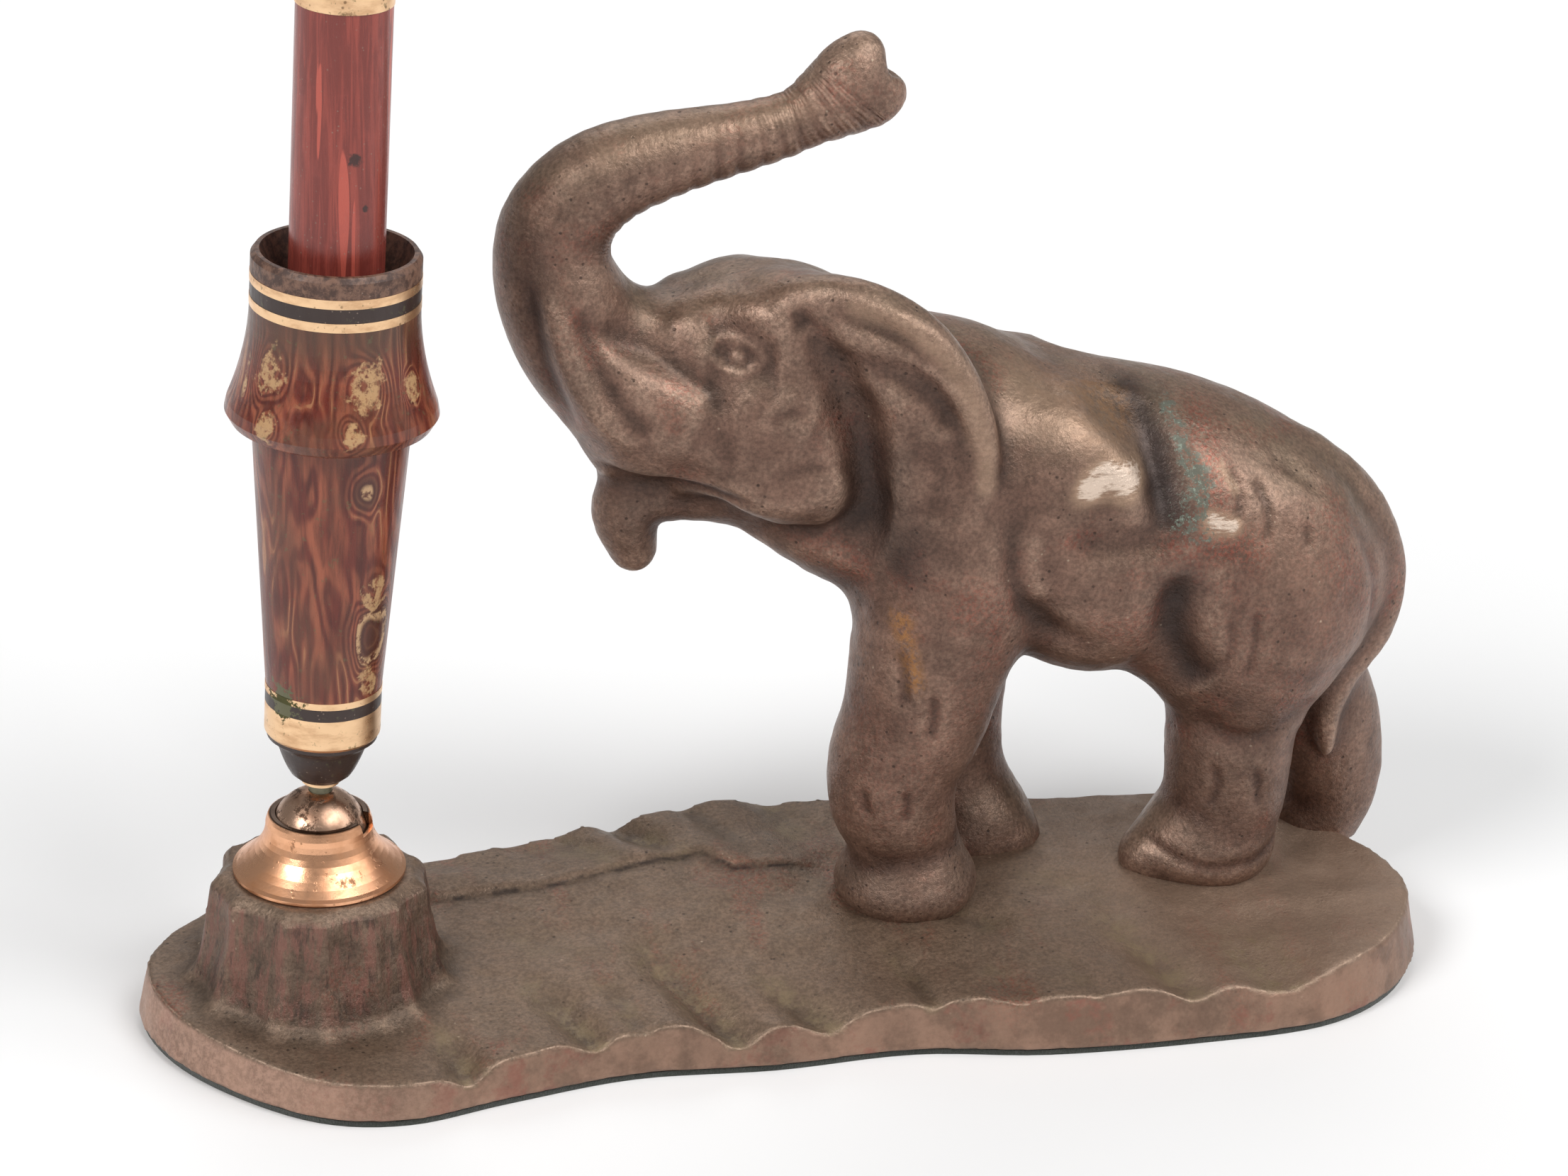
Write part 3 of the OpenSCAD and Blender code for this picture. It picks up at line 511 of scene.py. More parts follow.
# Marks on the near side, in the patina and as painted sheen and painted shade: line of (x, z), half width,
# strength
MARKS = {
    # Rubbed bare metal where strongest; the broad marks over the ear rim, trunk top and haunch are painted
    # sheen, and over the shoulder partly worn metal and partly painted sheen
    "polish_and_painted_sheen": [([(5, 99.2), (10, 98), (15.6, 94), (20, 87.6), (22.4, 80), (22.4, 75)], 2.2, 0.42),
               ([(-26, 118), (-12, 121), (0, 123)], 3.4, 0.34), ([(60, 66), (70, 58)], 6, 0.2),
               ([(29, 85), (34, 82.4), (38.6, 79), (40.6, 76)], 5.2, 0.42),
               ([(36.8, 73.4), (39.6, 74.8), (42.2, 74)], 2.9, 1.0),
               ([(54.6, 67.4), (57.4, 66.4)], 1.7, 0.85), ([(56.6, 73.6), (58.2, 70.6)], 1.0, 0.6)],
    "green": [([(50.4, 79.4), (51.8, 75.6)], 2.0, 0.8),
              ([(51.8, 75.6), (53.6, 71.8), (52, 68.6)], 2.4, 1.0), ([(50, 67.2), (53.4, 65.6)], 1.6, 0.8)],
    "ochre": [([(12.6, 55.4), (13.6, 51), (14.6, 46)], 1.2, 0.8), ([(35, 86.4), (42, 80.4)], 2.6, 0.35)],
    "red": [([(54.4, 78), (55.6, 71), (54, 66.4), (50, 64.2), (60, 63.6)], 3.0, 1.5),
            ([(57, 52), (66, 44), (74, 52), (70, 62)], 6.0, 0.35),
            ([(8, 40), (10, 26), (22, 44)], 4.5, 0.4)],
    # Painted shade: darkening where shade falls, in hollows, under the jaw and ear, on the trunk's left
    # side and low on the legs
    "dark": [([(45.4, 82), (48, 76), (48.6, 69)], 3.6, 1.0), ([(9, 78), (9.5, 70), (13, 63.4)], 3.6, 0.7),
             ([(-22, 72), (-21.5, 66)], 3, 0.4), ([(51, 60), (50.6, 52), (54, 44)], 2.6, 0.8),
             ([(-36.4, 106), (-35.8, 97), (-32.4, 87)], 3.4, 0.4), ([(9, 15), (17, 13), (25, 15)], 5, 0.22),
             ([(63, 36), (63, 26), (62, 16)], 8, 0.25)],
}


def pressed(points, normals, strokes, side, drop=0.0):
    """Moves the points of one side along their normals by the strokes drawn on that side."""
    out = (points[:, 1] - middle_y) * side
    facing = smooth_step(normals[:, 1] * side, -0.05, 0.35)
    for line, width, height, (low, high) in strokes:
        closed = line[0] == line[-1]
        line = curve_through(np.array(line, float) - [0, drop], 5, False)
        gap, share = line_distance(points[:, 0], points[:, 2], line)
        fade = 1.0 if closed else smooth_step(share, -0.05, 0.25) * smooth_step(1 - share, -0.05, 0.25)
        here = facing * fade * smooth_step(out, low - 2, low + 2) * smooth_step(high - out, -2, 2)
        points = points + normals * (height * here * np.exp(-(gap / width) ** 2))[:, None]
    return points


def marked(points, normals, marks):
    """How strongly the marks of one kind cover each point of the near side, from 0 to 1."""
    cover = np.zeros(len(points))
    facing = smooth_step(-normals[:, 1], -0.1, 0.3)
    ragged = 1 + 0.35 * noise(points, 3.4, 31)
    for line, width, strength in marks:
        gap, _ = line_distance(points[:, 0], points[:, 2], np.array(line, float))
        cover = np.maximum(cover, strength * facing * np.exp(-(gap * ragged / width) ** 2))
    return cover


def trunk_place(points):
    """How far along the trunk each point lies, in millimetres, and how much of it counts as trunk."""
    path = curve_through([(x, z) for x, _, z, _ in TRUNK[3:]], 6, False)
    length = np.linalg.norm(np.diff(path, axis=0), axis=1).sum()
    gap, share = line_distance(points[:, 0], points[:, 2], path)
    under = smooth_step(points[:, 2] - np.interp(points[:, 0], [-32, -12, 8], [100, 118, 128]), 4, -3)
    inside = smooth_step(gap, 10, 8) * smooth_step(share, 0.08, 0.3)
    return share * length, inside * (0.25 + 0.75 * under)


def elephant_clay():
    clay = Clay((-46, -14, 7), (98, 44, 137), FIGURE_CELL)
    body_masses(clay)
    head_masses(clay)
    trunk_tip(clay)
    leg_masses(clay)
    tail_mass(clay)
    ear(clay, NEAR)
    ear(clay, FAR)
    return clay


def squeezed(points):
    """The far flank pressed in, so that it stays inside the elephant's box."""
    start = elephant_high[1] - FLANK_DEPTH
    depth = points[:, 1].max() - start + FLANK_SPARE
    past = points[:, 1] - start
    points[:, 1] = np.where(past > 0, start + past * FLANK_DEPTH / depth, points[:, 1])
    return points


def build_elephant():
    points, quads = skin_of(elephant_clay())
    pairs = neighbour_pairs(quads)
    points = squeezed(neighbour_mean(points, pairs, 4, 0.5))
    for side in (NEAR, FAR):
        for strokes in (FACE_STROKES, BODY_STROKES, EYE_STROKES):
            points = pressed(points, normals_of(points, quads), strokes, side)
        drop = 0 if side == NEAR else FAR_EAR_DOWN
        points = pressed(points, normals_of(points, quads), EAR_STROKES, side, drop)
    points = neighbour_mean(points, pairs, 1, 0.4)
    along, ringed = trunk_place(points)
    phase = along + 0.8 * noise(points, 6.0, 5)
    crease = RING_DEPTH * ringed * (0.5 - np.abs(np.sin(phase * np.pi / RING_SPACING)) ** 4)
    points = points + normals_of(points, quads) * crease[:, None]
    wide = relief(points, quads, 16)
    fine = relief(points, quads, 5)
    sandy = 0.35 + 0.65 * smooth_step(points[:, 2], 92, 70)
    sand = 0.09 * noise(points, 2.6, 11) + 0.05 * noise(points, 1.2, 12)
    rough = sandy * sand + 0.12 * noise(points, 9.0, 13)
    normals = normals_of(points, quads)
    points = points + normals * rough[:, None]
    points[:, :2] = np.clip(points[:, :2], elephant_low[:2], elephant_high[:2])
    attributes = {
        "wear": np.clip(wide / 0.9, 0, 1) * 0.55 + np.clip(fine / 0.14, 0, 1) * 0.45,
        "hollow": np.clip(-wide / 0.7, 0, 1) * 0.8 + np.clip(-fine / 0.14, 0, 1) * 0.5,
        "along": along * MM,
        "ringed": ringed,
        "above": smooth_step(normals[:, 2], 0.1, 0.8),
    }
    attributes.update({kind: marked(points, normals, marks) for kind, marks in MARKS.items()})
    return mesh_piece("elephant_figure", points, quads, attributes)


# ---- Ground and stump ----
GROUND_CELL = 0.62
# Direction each flat side of the stump faces, in degrees, and its distance from the swivel
STUMP_SIDES = [(-165, 14.3), (-133, 13.9), (-103, 14.5), (-79, 13.6), (-60, 14.2), (-37, 14.0),
               (-8, 14.4), (22, 13.8), (57, 14.3), (92, 14.0), (127, 14.4), (162, 13.9)]
PLATE = [(-89, 3), (-87, -9), (-80, -20), (-69, -29.5), (-57, -32), (-43, -28.5), (-26, -25), (-7, -25.6),
         (12, -24.4), (30, -27.3), (51, -27.4), (69, -25.6), (81, -18.5), (88.2, -7), (88.6, 4), (83, 15),
         (71, 24), (55, 27), (36, 27.3), (18, 29.5), (0, 32), (-17, 28.5), (-35, 25.5), (-52, 23),
         (-70, 21), (-83, 13.5)]
WALL_LEAN = 0.2
# Distance from the plate's upper edge over which the wear fades
EDGE_REACH = 3.0
# Spread of the stump at the ground, and its foot's largest radius
STUMP_SPREAD = 1.9
STUMP_FOOT_R = 22
# Hollow in each flat side of the stump: depth and half width
SCOOP_DEPTH = 0.75
SCOOP_HALF = 3.8
# Hole for the swivel: radius and height of its floor
WELL_R = 8.9
WELL_Z = 15.2
# Height of the ground at the front and at the rear edge, by x
FRONT_EDGE = [(-90, 6.8), (-66, 6.0), (-55, 6.0), (-40, 6.6), (-30, 7.2), (-19, 6.9), (-6, 6.3), (8, 6.8),
              (21, 7.9), (43, 8.6), (60, 7.7), (72, 8.4), (90, 9.2)]
REAR_EDGE = [(-90, 8.5), (-66, 10), (-47, 11.3), (-34, 12.2), (-19, 13.6), (-7, 13.8), (8, 12.6),
             (36, 12.4), (57, 12.3), (75, 10.8), (90, 9.4)]
# Gullies: from (x, y) to (x, y) at the edge, depth and half width
GULLIES = [((-51, -20), (-48.8, -29.5), 2.0, 2.6), ((-37, -12), (-30.8, -26), 2.2, 2.7),
           ((-28, -13), (-24.6, -26), 1.0, 2.0), ((-21.5, -6), (-11.6, -26), 2.9, 3.0),
           ((-6.5, -15), (1.4, -25.5), 1.9, 2.8), ((12, -10), (14.8, -25), 1.0, 1.8),
           ((24, -18), (26.6, -27), 0.8, 2.5), ((34, -17), (37, -28), 0.5, 2.0),
           ((43, -8), (50.8, -28), 1.8, 3.0), ((60, -16), (64.5, -27), 1.4, 5.0),
           ((-26.5, 17), (-38, 26.5), 0.8, 2.4), ((-13, 15), (-21.8, 27.5), 2.0, 2.3),
           ((-22, 14), (-30, 26), 1.0, 2.2), ((-4, 17), (-10.8, 29), 0.8, 2.0),
           ((4, 19), (2.6, 31.5), 1.2, 3.2), ((14, 2), (26, -6), 0.8, 2.6), ((36, 4), (46, -3), 0.7, 3.0),
           ((-40, 2), (-30, -6), 0.5, 3.0)]
# Line of the seam in the ground, and the height of its step
SEAM_STEP = 0.75
SEAM = [(-49, 11.4), (-38, 11.2), (-31.5, 10.7), (-20.8, 13.1), (-9.6, 15.2), (-5.9, 11.2), (4, 10.9)]


def gully_share(x, y):
    """How deep in a gully each place is, from 0 to 1, and how much the gullies lower the ground there."""
    share_of_all, lowered = 0 * x * y, 0 * x * y
    for start, end, depth, width in GULLIES:
        gap, share = line_distance(x, y, np.array([start, end], float))
        here = smooth_step(share, -0.35, 0.8) * np.exp(-(gap / (1.1 * width)) ** 2)
        dusty = smooth_step(share, -0.7, 0.2) * np.exp(-(gap / (0.9 * width)) ** 2)
        share_of_all = np.maximum(share_of_all, dusty * min(1.0, depth / 1.5))
        lowered = lowered + 1.1 * depth * here
    return share_of_all, lowered


def seam_share(x):
    """How much of the seam shows at each x, from 0 to 1."""
    return smooth_step(x, -53, -46) * smooth_step(8 - x, 0, 7)


def ground_height(x, y):
    front, rear = (np.interp(x, *np.array(edge, float).T) for edge in (FRONT_EDGE, REAR_EDGE))
    height = front + (rear - front) * smooth_step(y, -34, 34) - gully_share(x, y)[1]
    seam = np.interp(x, *np.array(SEAM, float).T)
    step = smooth_step(y - seam, -0.6, 0.6) - smooth_step(y - seam, 0.6, 12)
    return height + SEAM_STEP * seam_share(x) * step


def plate_shape(outline):
    def shape(x, y, z):
        flat_x, flat_y = x[:, :, 0] + 0 * y[:, :, 0], y[:, :, 0] + 0 * x[:, :, 0]
        wall = outline_distance(flat_x, flat_y, outline)[:, :, None] + WALL_LEAN * (z - felt_z)
        top = 0.95 * (z - ground_height(flat_x, flat_y)[:, :, None])
        return np.maximum(np.maximum(wall, top), felt_z - z)
    return shape


def stump_shape(x, y, z):
    """Flat sides around the stump that spread towards the ground, with a flat top."""
    dx, dy = x - ball_centre[0], y - ball_centre[1]
    spread = STUMP_SPREAD * np.clip((stump_z - z) / (stump_z - ground_z), 0, 1.4) ** 1.6
    wall = np.full(np.broadcast_shapes(dx.shape, dy.shape, z.shape), -99.0)
    for degrees, reach in STUMP_SIDES:
        turn = math.radians(degrees)
        across = dy * math.cos(turn) - dx * math.sin(turn)
        scoop = SCOOP_DEPTH * np.clip(1 - (across / SCOOP_HALF) ** 2, 0, 1)
        wall = np.maximum(wall, dx * math.cos(turn) + dy * math.sin(turn) - reach - spread + scoop)
    chamfer = (wall + z - stump_z) * 0.7071 + 0.9
    return np.maximum(np.maximum(wall, chamfer), np.maximum(z - stump_z, felt_z + 2 - z))


def well_shape(x, y, z):
    """The hole that the swivel sits in."""
    wall = np.hypot(x - ball_centre[0], y - ball_centre[1]) - WELL_R
    return np.maximum(wall, WELL_Z - z)


def build_ground():
    clay = Clay((-93, -36, felt_z - 2), (93, 36, stump_z + 2.5), GROUND_CELL)
    outline = curve_through(PLATE, 6, True)
    clay.add((-93, -36, felt_z - 2), (93, 36, stump_z + 2.5), plate_shape(outline), 0.01)
    low, high = ball_centre - [20, 20, 25], ball_centre + [20, 20, 5]
    clay.add(low, high, stump_shape, 3.2)
    clay.carve(ball_centre - [12, 12, 16], ball_centre + [12, 12, 5], well_shape, 0.01)
    points, quads = skin_of(clay)
    points = neighbour_mean(points, neighbour_pairs(quads), 1, 0.5)
    wide = relief(points, quads, 10)
    fine = relief(points, quads, 3)
    normals = normals_of(points, quads)
    above = smooth_step(normals[:, 2], 0.3, 0.7)
    stump_gap = np.hypot(points[:, 0] - ball_centre[0], points[:, 1] - ball_centre[1])
    above_ground = points[:, 2] - ground_height(points[:, 0], points[:, 1])
    near_stump = smooth_step(STUMP_FOOT_R - stump_gap, 0, 2)
    on_stump = near_stump * smooth_step(above_ground, 0.6, 1.8)
    rough = (0.14 + 0.1 * on_stump) * noise(points, 2.6, 21)
    rough = rough + (0.05 + 0.04 * on_stump) * noise(points, 1.2, 22)
    swell = 0.35 * noise(points, np.array([9.0, 5.0, 9.0]), 23)
    inner = smooth_step(stump_gap, 9.5, 10.5)
    keep = np.maximum(above, on_stump)
    lift = inner * (rough * (0.35 + 0.65 * keep) + swell * above * (1 - on_stump))
    points = points + normals * lift[:, None]
    points = np.clip(points, base_low, base_high)
    x, y = points[:, 0], points[:, 1]
    past_wall = outline_distance(x, y, outline) + WALL_LEAN * (points[:, 2] - felt_z)
    edge = np.where(on_stump > 0.5, -EDGE_REACH, past_wall - points[:, 2] + ground_height(x, y))
    # Offset across the seam; the painted shade line lies just in front of it.
    seam_shade = y - np.interp(x, *np.array(SEAM, float).T)
    ridges = np.clip(wide / 0.55, 0, 1) * 0.2 + np.clip(fine / 0.12, 0, 1) * 0.3
    attributes = {
        "wear": ridges * np.clip(np.abs(edge) / 2, 0, 1) * (1 - 0.7 * near_stump),
        "hollow": np.clip(-wide / 0.5, 0, 1) * 0.8 + np.clip(-fine / 0.12, 0, 1) * 0.5,
        "edge": 0.5 + 0.5 * np.clip(edge / EDGE_REACH, -1, 1),
        "seam_shade": seam_share(x) * np.exp(-((seam_shade + 0.4) / 0.3) ** 2),
        "stump": np.maximum(on_stump, (1 - above) * near_stump * smooth_step(-past_wall, 1, 2)),
        "above": above,
        "dust": gully_share(x, y)[0] * above * (1 - on_stump),
    }
    return mesh_piece("ground_and_stump", points, quads, attributes)


# ---- Materials ----
class Paint:
    """Builds one node material, with sizes in millimetres."""

    def __init__(self, name, **values):
        self.material = bpy.data.materials.new(name)
        self.material.use_nodes = True
        self.tree = self.material.node_tree
        self.shader = self.tree.nodes["Principled BSDF"]
        self.place = self.tree.nodes.new("ShaderNodeTexCoord").outputs["Object"]
        for key, value in values.items():
            self.set(key.replace("_", " ").title(), value)

    def set(self, socket, value):
        target = self.shader.inputs[socket]
        if isinstance(value, bpy.types.NodeSocket):
            self.tree.links.new(value, target)
        else:
            target.default_value = tuple(value) + (1,) if isinstance(value, tuple) else value

    def node(self, kind, inputs, output, **settings):
        made = self.tree.nodes.new(kind)
        for key, value in settings.items():
            setattr(made, key, value)
        for key, value in inputs.items():
            if isinstance(value, bpy.types.NodeSocket):
                self.tree.links.new(value, made.inputs[key])
            elif value is not None:
                colour = isinstance(value, tuple) and made.inputs[key].type == "RGBA"
                made.inputs[key].default_value = value + (1,) if colour else value
        return made.outputs[output]

    def spot(self, stretch, shift=0.0):
        """The place with each axis stretched, moved along to another part of the pattern."""
        inputs = {"Vector": self.place, "Scale": stretch, "Location": (shift, shift, shift)}
        return self.node("ShaderNodeMapping", inputs, "Vector")

    def noise(self, size, detail, rough=0.6, stretch=(1, 1, 1), bend=0.0, shift=0.0):
        """Noise from 0 to 1 with features about size mm across, longer where stretch is under 1."""
        inputs = {"Vector": self.spot(stretch, shift), "Scale": 1 / (size * MM)}
        inputs.update({"Detail": detail, "Roughness": rough, "Distortion": bend})
        return self.node("ShaderNodeTexNoise", inputs, "Fac")

    def cells(self, size, shift=0.0):
        """Distance from the middle of the nearest cell, in cells."""
        inputs = {"Vector": self.spot((1, 1, 1), shift), "Scale": 1 / (size * MM)}
        return self.node("ShaderNodeTexVoronoi", inputs, "Distance")

    def layer(self, name):
        return self.node("ShaderNodeAttribute", {}, "Fac", attribute_name=name, attribute_type="GEOMETRY")

    def span(self, value, low, high, first=0.0, last=1.0):
        """A value from low to high turned smoothly into one from first to last."""
        inputs = {"Value": value, "From Min": low, "From Max": high, "To Min": first, "To Max": last}
        return self.node("ShaderNodeMapRange", inputs, "Result", interpolation_type="SMOOTHSTEP")

    def math(self, operation, a, b=0.0):
        return self.node("ShaderNodeMath", {0: a, 1: b}, "Value", operation=operation)

    def times(self, a, b):
        return self.math("MULTIPLY", a, b)

    def larger(self, a, b):
        return self.math("MAXIMUM", a, b)

    def distance(self, place, target):
        return self.node("ShaderNodeVectorMath", {0: place, 1: target}, "Value", operation="DISTANCE")

    def mix(self, share, a, b):
        return self.node("ShaderNodeMix", {"Factor": share, 6: a, 7: b}, 2, data_type="RGBA")

    def tint(self, colour, value):
        """The colour made darker or lighter by a factor."""
        return self.node("ShaderNodeMix", {"Factor": 1.0, 6: colour, 7: value}, 2, data_type="RGBA",
                         blend_type="MULTIPLY")

    def bump(self, layers):
        """Layers of (height from 0 to 1, depth in millimetres), one on the other."""
        normal = None
        for height, depth in layers:
            inputs = {"Height": height, "Distance": depth * MM, "Strength": 1.0, "Normal": normal}
            normal = self.node("ShaderNodeBump", inputs, "Normal")
        self.set("Normal", normal)


def patina(name, dark, middle, light, worn, film, streaks):
    """Old patina on cast metal: darker hollows, a dull film on upward faces that also paints them lighter
    as painted top light, and ridges rubbed through to the metal.
    """
    paint = Paint(name, metallic=0.5)
    clouds = paint.noise(9, 5, 0.65, streaks)
    grain = paint.noise(0.5, 4, 0.7)
    colour = paint.mix(paint.span(clouds, 0.35, 0.65), dark, middle)
    colour = paint.mix(paint.span(paint.noise(4.5, 4, 0.6, shift=0.3), 0.45, 0.8, 0, 0.6), colour, light)
    # Partly a dull film and partly painted light: upward faces painted lighter, as if lit from above.
    dull = paint.times(paint.layer("above"), paint.span(clouds, 0.7, 0.3, 0.25, 0.75))
    colour = paint.mix(dull, colour, film)
    patches = paint.span(paint.noise(14, 4, 0.6, streaks, shift=0.7), 0.52, 0.66)
    rust = paint.larger(patches, paint.layer("red"))
    rust = paint.times(rust, paint.span(grain, 0.42, 0.62, 0, 0.6))
    colour = paint.mix(rust, colour, (0.25, 0.07, 0.045))
    hollow = paint.layer("hollow")
    colour = paint.mix(paint.times(hollow, 0.75), colour, tuple(0.35 * c for c in dark))
    broken = paint.span(paint.noise(0.8, 5, 0.75, shift=0.5), 0.36, 0.7, 0.25, 0.85)
    colour = paint.mix(paint.times(paint.layer("wear"), broken), colour, worn)
    pitted = paint.span(paint.noise(7, 3, shift=0.9), 0.46, 0.6)
    pits = paint.times(paint.span(paint.cells(1.5), 0.2, 0.08), pitted)
    colour = paint.mix(paint.times(pits, 0.75), colour, tuple(0.25 * c for c in dark))
    flecks = paint.times(paint.span(paint.cells(2.3, shift=0.6), 0.1, 0.04),
                         paint.span(clouds, 0.5, 0.6, 0, 0.7))
    colour = paint.mix(flecks, colour, (0.42, 0.33, 0.24))
    sand = paint.times(paint.span(paint.noise(0.55, 3, 0.65, shift=0.77), 0.32, 0.68, 0.78, 1.24),
                      paint.span(paint.noise(2.2, 3, 0.6, shift=0.66), 0.3, 0.7, 0.93, 1.08))
    return paint, paint.tint(colour, sand), grain, pits


def cast_patina():
    paint, colour, grain, pits = patina(
        "cast_patina", dark=(0.115, 0.062, 0.044), middle=(0.19, 0.106, 0.076),
        light=(0.25, 0.148, 0.106), worn=(0.46, 0.31, 0.225), film=(0.235, 0.165, 0.11),
        streaks=(1, 1, 1))
    speckle = paint.span(paint.noise(1.3, 5, 0.8, shift=0.45), 0.4, 0.58)
    # Painted shade: the dark marks darken the hollow behind the shoulder, the neck under the ear, under the
    # jaw, the thigh hollow, the trunk's left side, the ankles and the hind leg, where shade falls.
    dark = paint.times(paint.layer("dark"), 0.85)
    colour = paint.mix(dark, colour, (0.03, 0.02, 0.018))
    colour = paint.mix(paint.times(paint.layer("ochre"), speckle), colour, (0.38, 0.17, 0.05))
    # Polish and painted sheen: the strongest marks show bare, scratched metal, the weaker spread mixes in a
    # lighter colour as painted sheen.
    polish_and_painted_sheen = paint.layer("polish_and_painted_sheen")
    scratches = paint.noise(0.7, 4, 0.7, (0.25, 1, 1.6), 0.5)
    bare = paint.span(paint.times(polish_and_painted_sheen, paint.span(scratches, 0.3, 0.65, 0.75, 1.2)), 0.6, 0.9)
    sheen = paint.times(paint.span(polish_and_painted_sheen, 0.08, 0.7, 0, 0.8), paint.span(scratches, 0.3, 0.6, 0.55, 1.0))
    colour = paint.mix(sheen, colour, (0.43, 0.285, 0.19))
    colour = paint.mix(bare, colour, (0.72, 0.57, 0.46))
    green = paint.times(paint.layer("green"), speckle)
    colour = paint.mix(paint.times(paint.span(green, 0.3, 0.6), 0.85), colour, (0.13, 0.145, 0.115))
    crumbs = paint.times(green, paint.span(paint.noise(0.45, 3, 0.7, shift=0.15), 0.54, 0.64, 0, 0.8))
    colour = paint.mix(crumbs, colour, (0.30, 0.36, 0.29))
    paint.set("Base Color", colour)
    rough = paint.span(paint.noise(4, 5, 0.7, shift=0.2), 0.3, 0.75, 0.30, 0.47)
    paint.set("Roughness", paint.larger(rough, paint.times(paint.layer("green"), 0.7)))
    phase = paint.times(paint.layer("along"), 2 * math.pi / (FINE_RING_SPACING * MM))
    ring = paint.math("SINE", paint.math("ADD", phase, paint.times(paint.noise(5, 3, 0.5), 9.0)))
    broken = paint.span(paint.noise(6, 3, 0.6, shift=0.55), 0.35, 0.6)
    crease = paint.times(paint.times(ring, paint.layer("ringed")), broken)
    flat = paint.span(pits, 0, 1, 1, 0)
    sand = paint.times(grain, paint.span(paint.layer("above"), 0, 1, 1.0, 0.35))
    paint.bump([(paint.noise(1.8, 4, 0.6), 0.16), (sand, 0.16), (flat, 0.05), (crease, 0.05)])
    return paint.material


def ground_patina():
    paint, colour, grain, pits = patina(
        "ground_patina", dark=(0.12, 0.078, 0.055), middle=(0.185, 0.123, 0.086),
        light=(0.245, 0.163, 0.114), worn=(0.34, 0.225, 0.16), film=(0.215, 0.148, 0.1),
        streaks=(1.6, 0.7, 1))
    wall = paint.math("SUBTRACT", 1.0, paint.layer("above"))
    stump = paint.layer("stump")
    warm = paint.times(wall, paint.math("SUBTRACT", 1.0, stump))
    pale = paint.span(paint.noise(7, 5, 0.65, shift=0.25), 0.4, 0.6)
    browns = paint.mix(pale, (0.22, 0.13, 0.09), (0.36, 0.215, 0.15))
    red = paint.span(paint.noise(9, 5, 0.7, shift=0.95), 0.53, 0.64, 0, 0.7)
    browns = paint.mix(red, browns, (0.30, 0.11, 0.08))
    wall_share = paint.times(warm, paint.span(paint.noise(12, 4, 0.6, (1, 1, 0.6)), 0.3, 0.7, 0.45, 0.9))
    colour = paint.mix(wall_share, colour, browns)
    across = paint.node("ShaderNodeSeparateXYZ", {"Vector": paint.place}, "X")
    # Painted light: the wall painted paler and speckled towards its left end, where light falls more on it.
    painted_light_wall = paint.times(warm, paint.span(across, -40 * MM, -80 * MM))
    speckle = paint.span(paint.noise(0.9, 5, 0.8, shift=0.12), 0.38, 0.64, 0.25, 0.8)
    colour = paint.mix(paint.times(painted_light_wall, speckle), colour, (0.50, 0.31, 0.23))
    # Upward faces painted paler towards the right end.
    paler_right_top = paint.times(paint.layer("above"), paint.span(across, 20 * MM, 80 * MM, 0, 0.6))
    colour = paint.mix(paler_right_top, colour, (0.38, 0.26, 0.19))
    dusty = paint.span(paint.noise(4, 5, 0.7, shift=0.15), 0.44, 0.62, 0.1, 0.75)
    colour = paint.mix(paint.times(paint.layer("dust"), dusty), colour, (0.275, 0.205, 0.12))
    bark = paint.times(stump, wall)
    ridges = paint.span(paint.noise(1.6, 5, 0.75, (1, 1, 0.2), shift=0.85), 0.44, 0.62, 0, 0.75)
    colour = paint.mix(paint.times(bark, ridges), colour, (0.235, 0.105, 0.08))
    crusts = paint.span(paint.noise(2.4, 5, 0.7, (1, 1, 0.22), shift=0.65), 0.52, 0.62, 0, 0.7)
    colour = paint.mix(paint.times(bark, crusts), colour, (0.055, 0.036, 0.028))
    edge = paint.math("ABSOLUTE", paint.math("SUBTRACT", paint.layer("edge"), 0.5))
    broken = paint.span(paint.noise(1.6, 5, 0.8, shift=0.35), 0.44, 0.6, 0.05, 0.9)
    colour = paint.mix(paint.times(paint.span(edge, 0.036, 0.008), broken), colour, (0.42, 0.29, 0.21))
    # Painted shade: a dark broken line at the foot of the seam's step, under its ledge.
    seam_shade = paint.times(paint.layer("seam_shade"), paint.span(paint.noise(5, 3, 0.6, shift=0.5), 0.48, 0.56))
    colour = paint.mix(paint.times(seam_shade, 0.85), colour, (0.028, 0.02, 0.018))
    paint.set("Base Color", colour)
    paint.set("Roughness", paint.span(paint.noise(4, 5, 0.7, shift=0.2), 0.3, 0.75, 0.36, 0.54))
    sand = paint.times(grain, paint.span(warm, 0, 1, 1.0, 0.3))
    fibres = paint.times(bark, paint.noise(1.5, 5, 0.7, (1, 1, 0.18), shift=0.05))
    paint.bump([(paint.noise(1.8, 4, 0.6), 0.14), (sand, 0.13), (fibres, 0.5),
                (paint.span(pits, 0, 1, 1, 0), 0.03)])
    return paint.material


def crust_cover(paint):
    """How far the green crust covers each place."""
    gap = paint.distance(paint.place, spot_at(CRUST))
    ragged = paint.span(paint.noise(1.2, 4, 0.7), 0.3, 0.7, -0.4, 0.4)
    return paint.span(paint.math("ADD", paint.span(gap, CRUST_REACH * MM, 0.0), ragged), 0.3, 0.5)


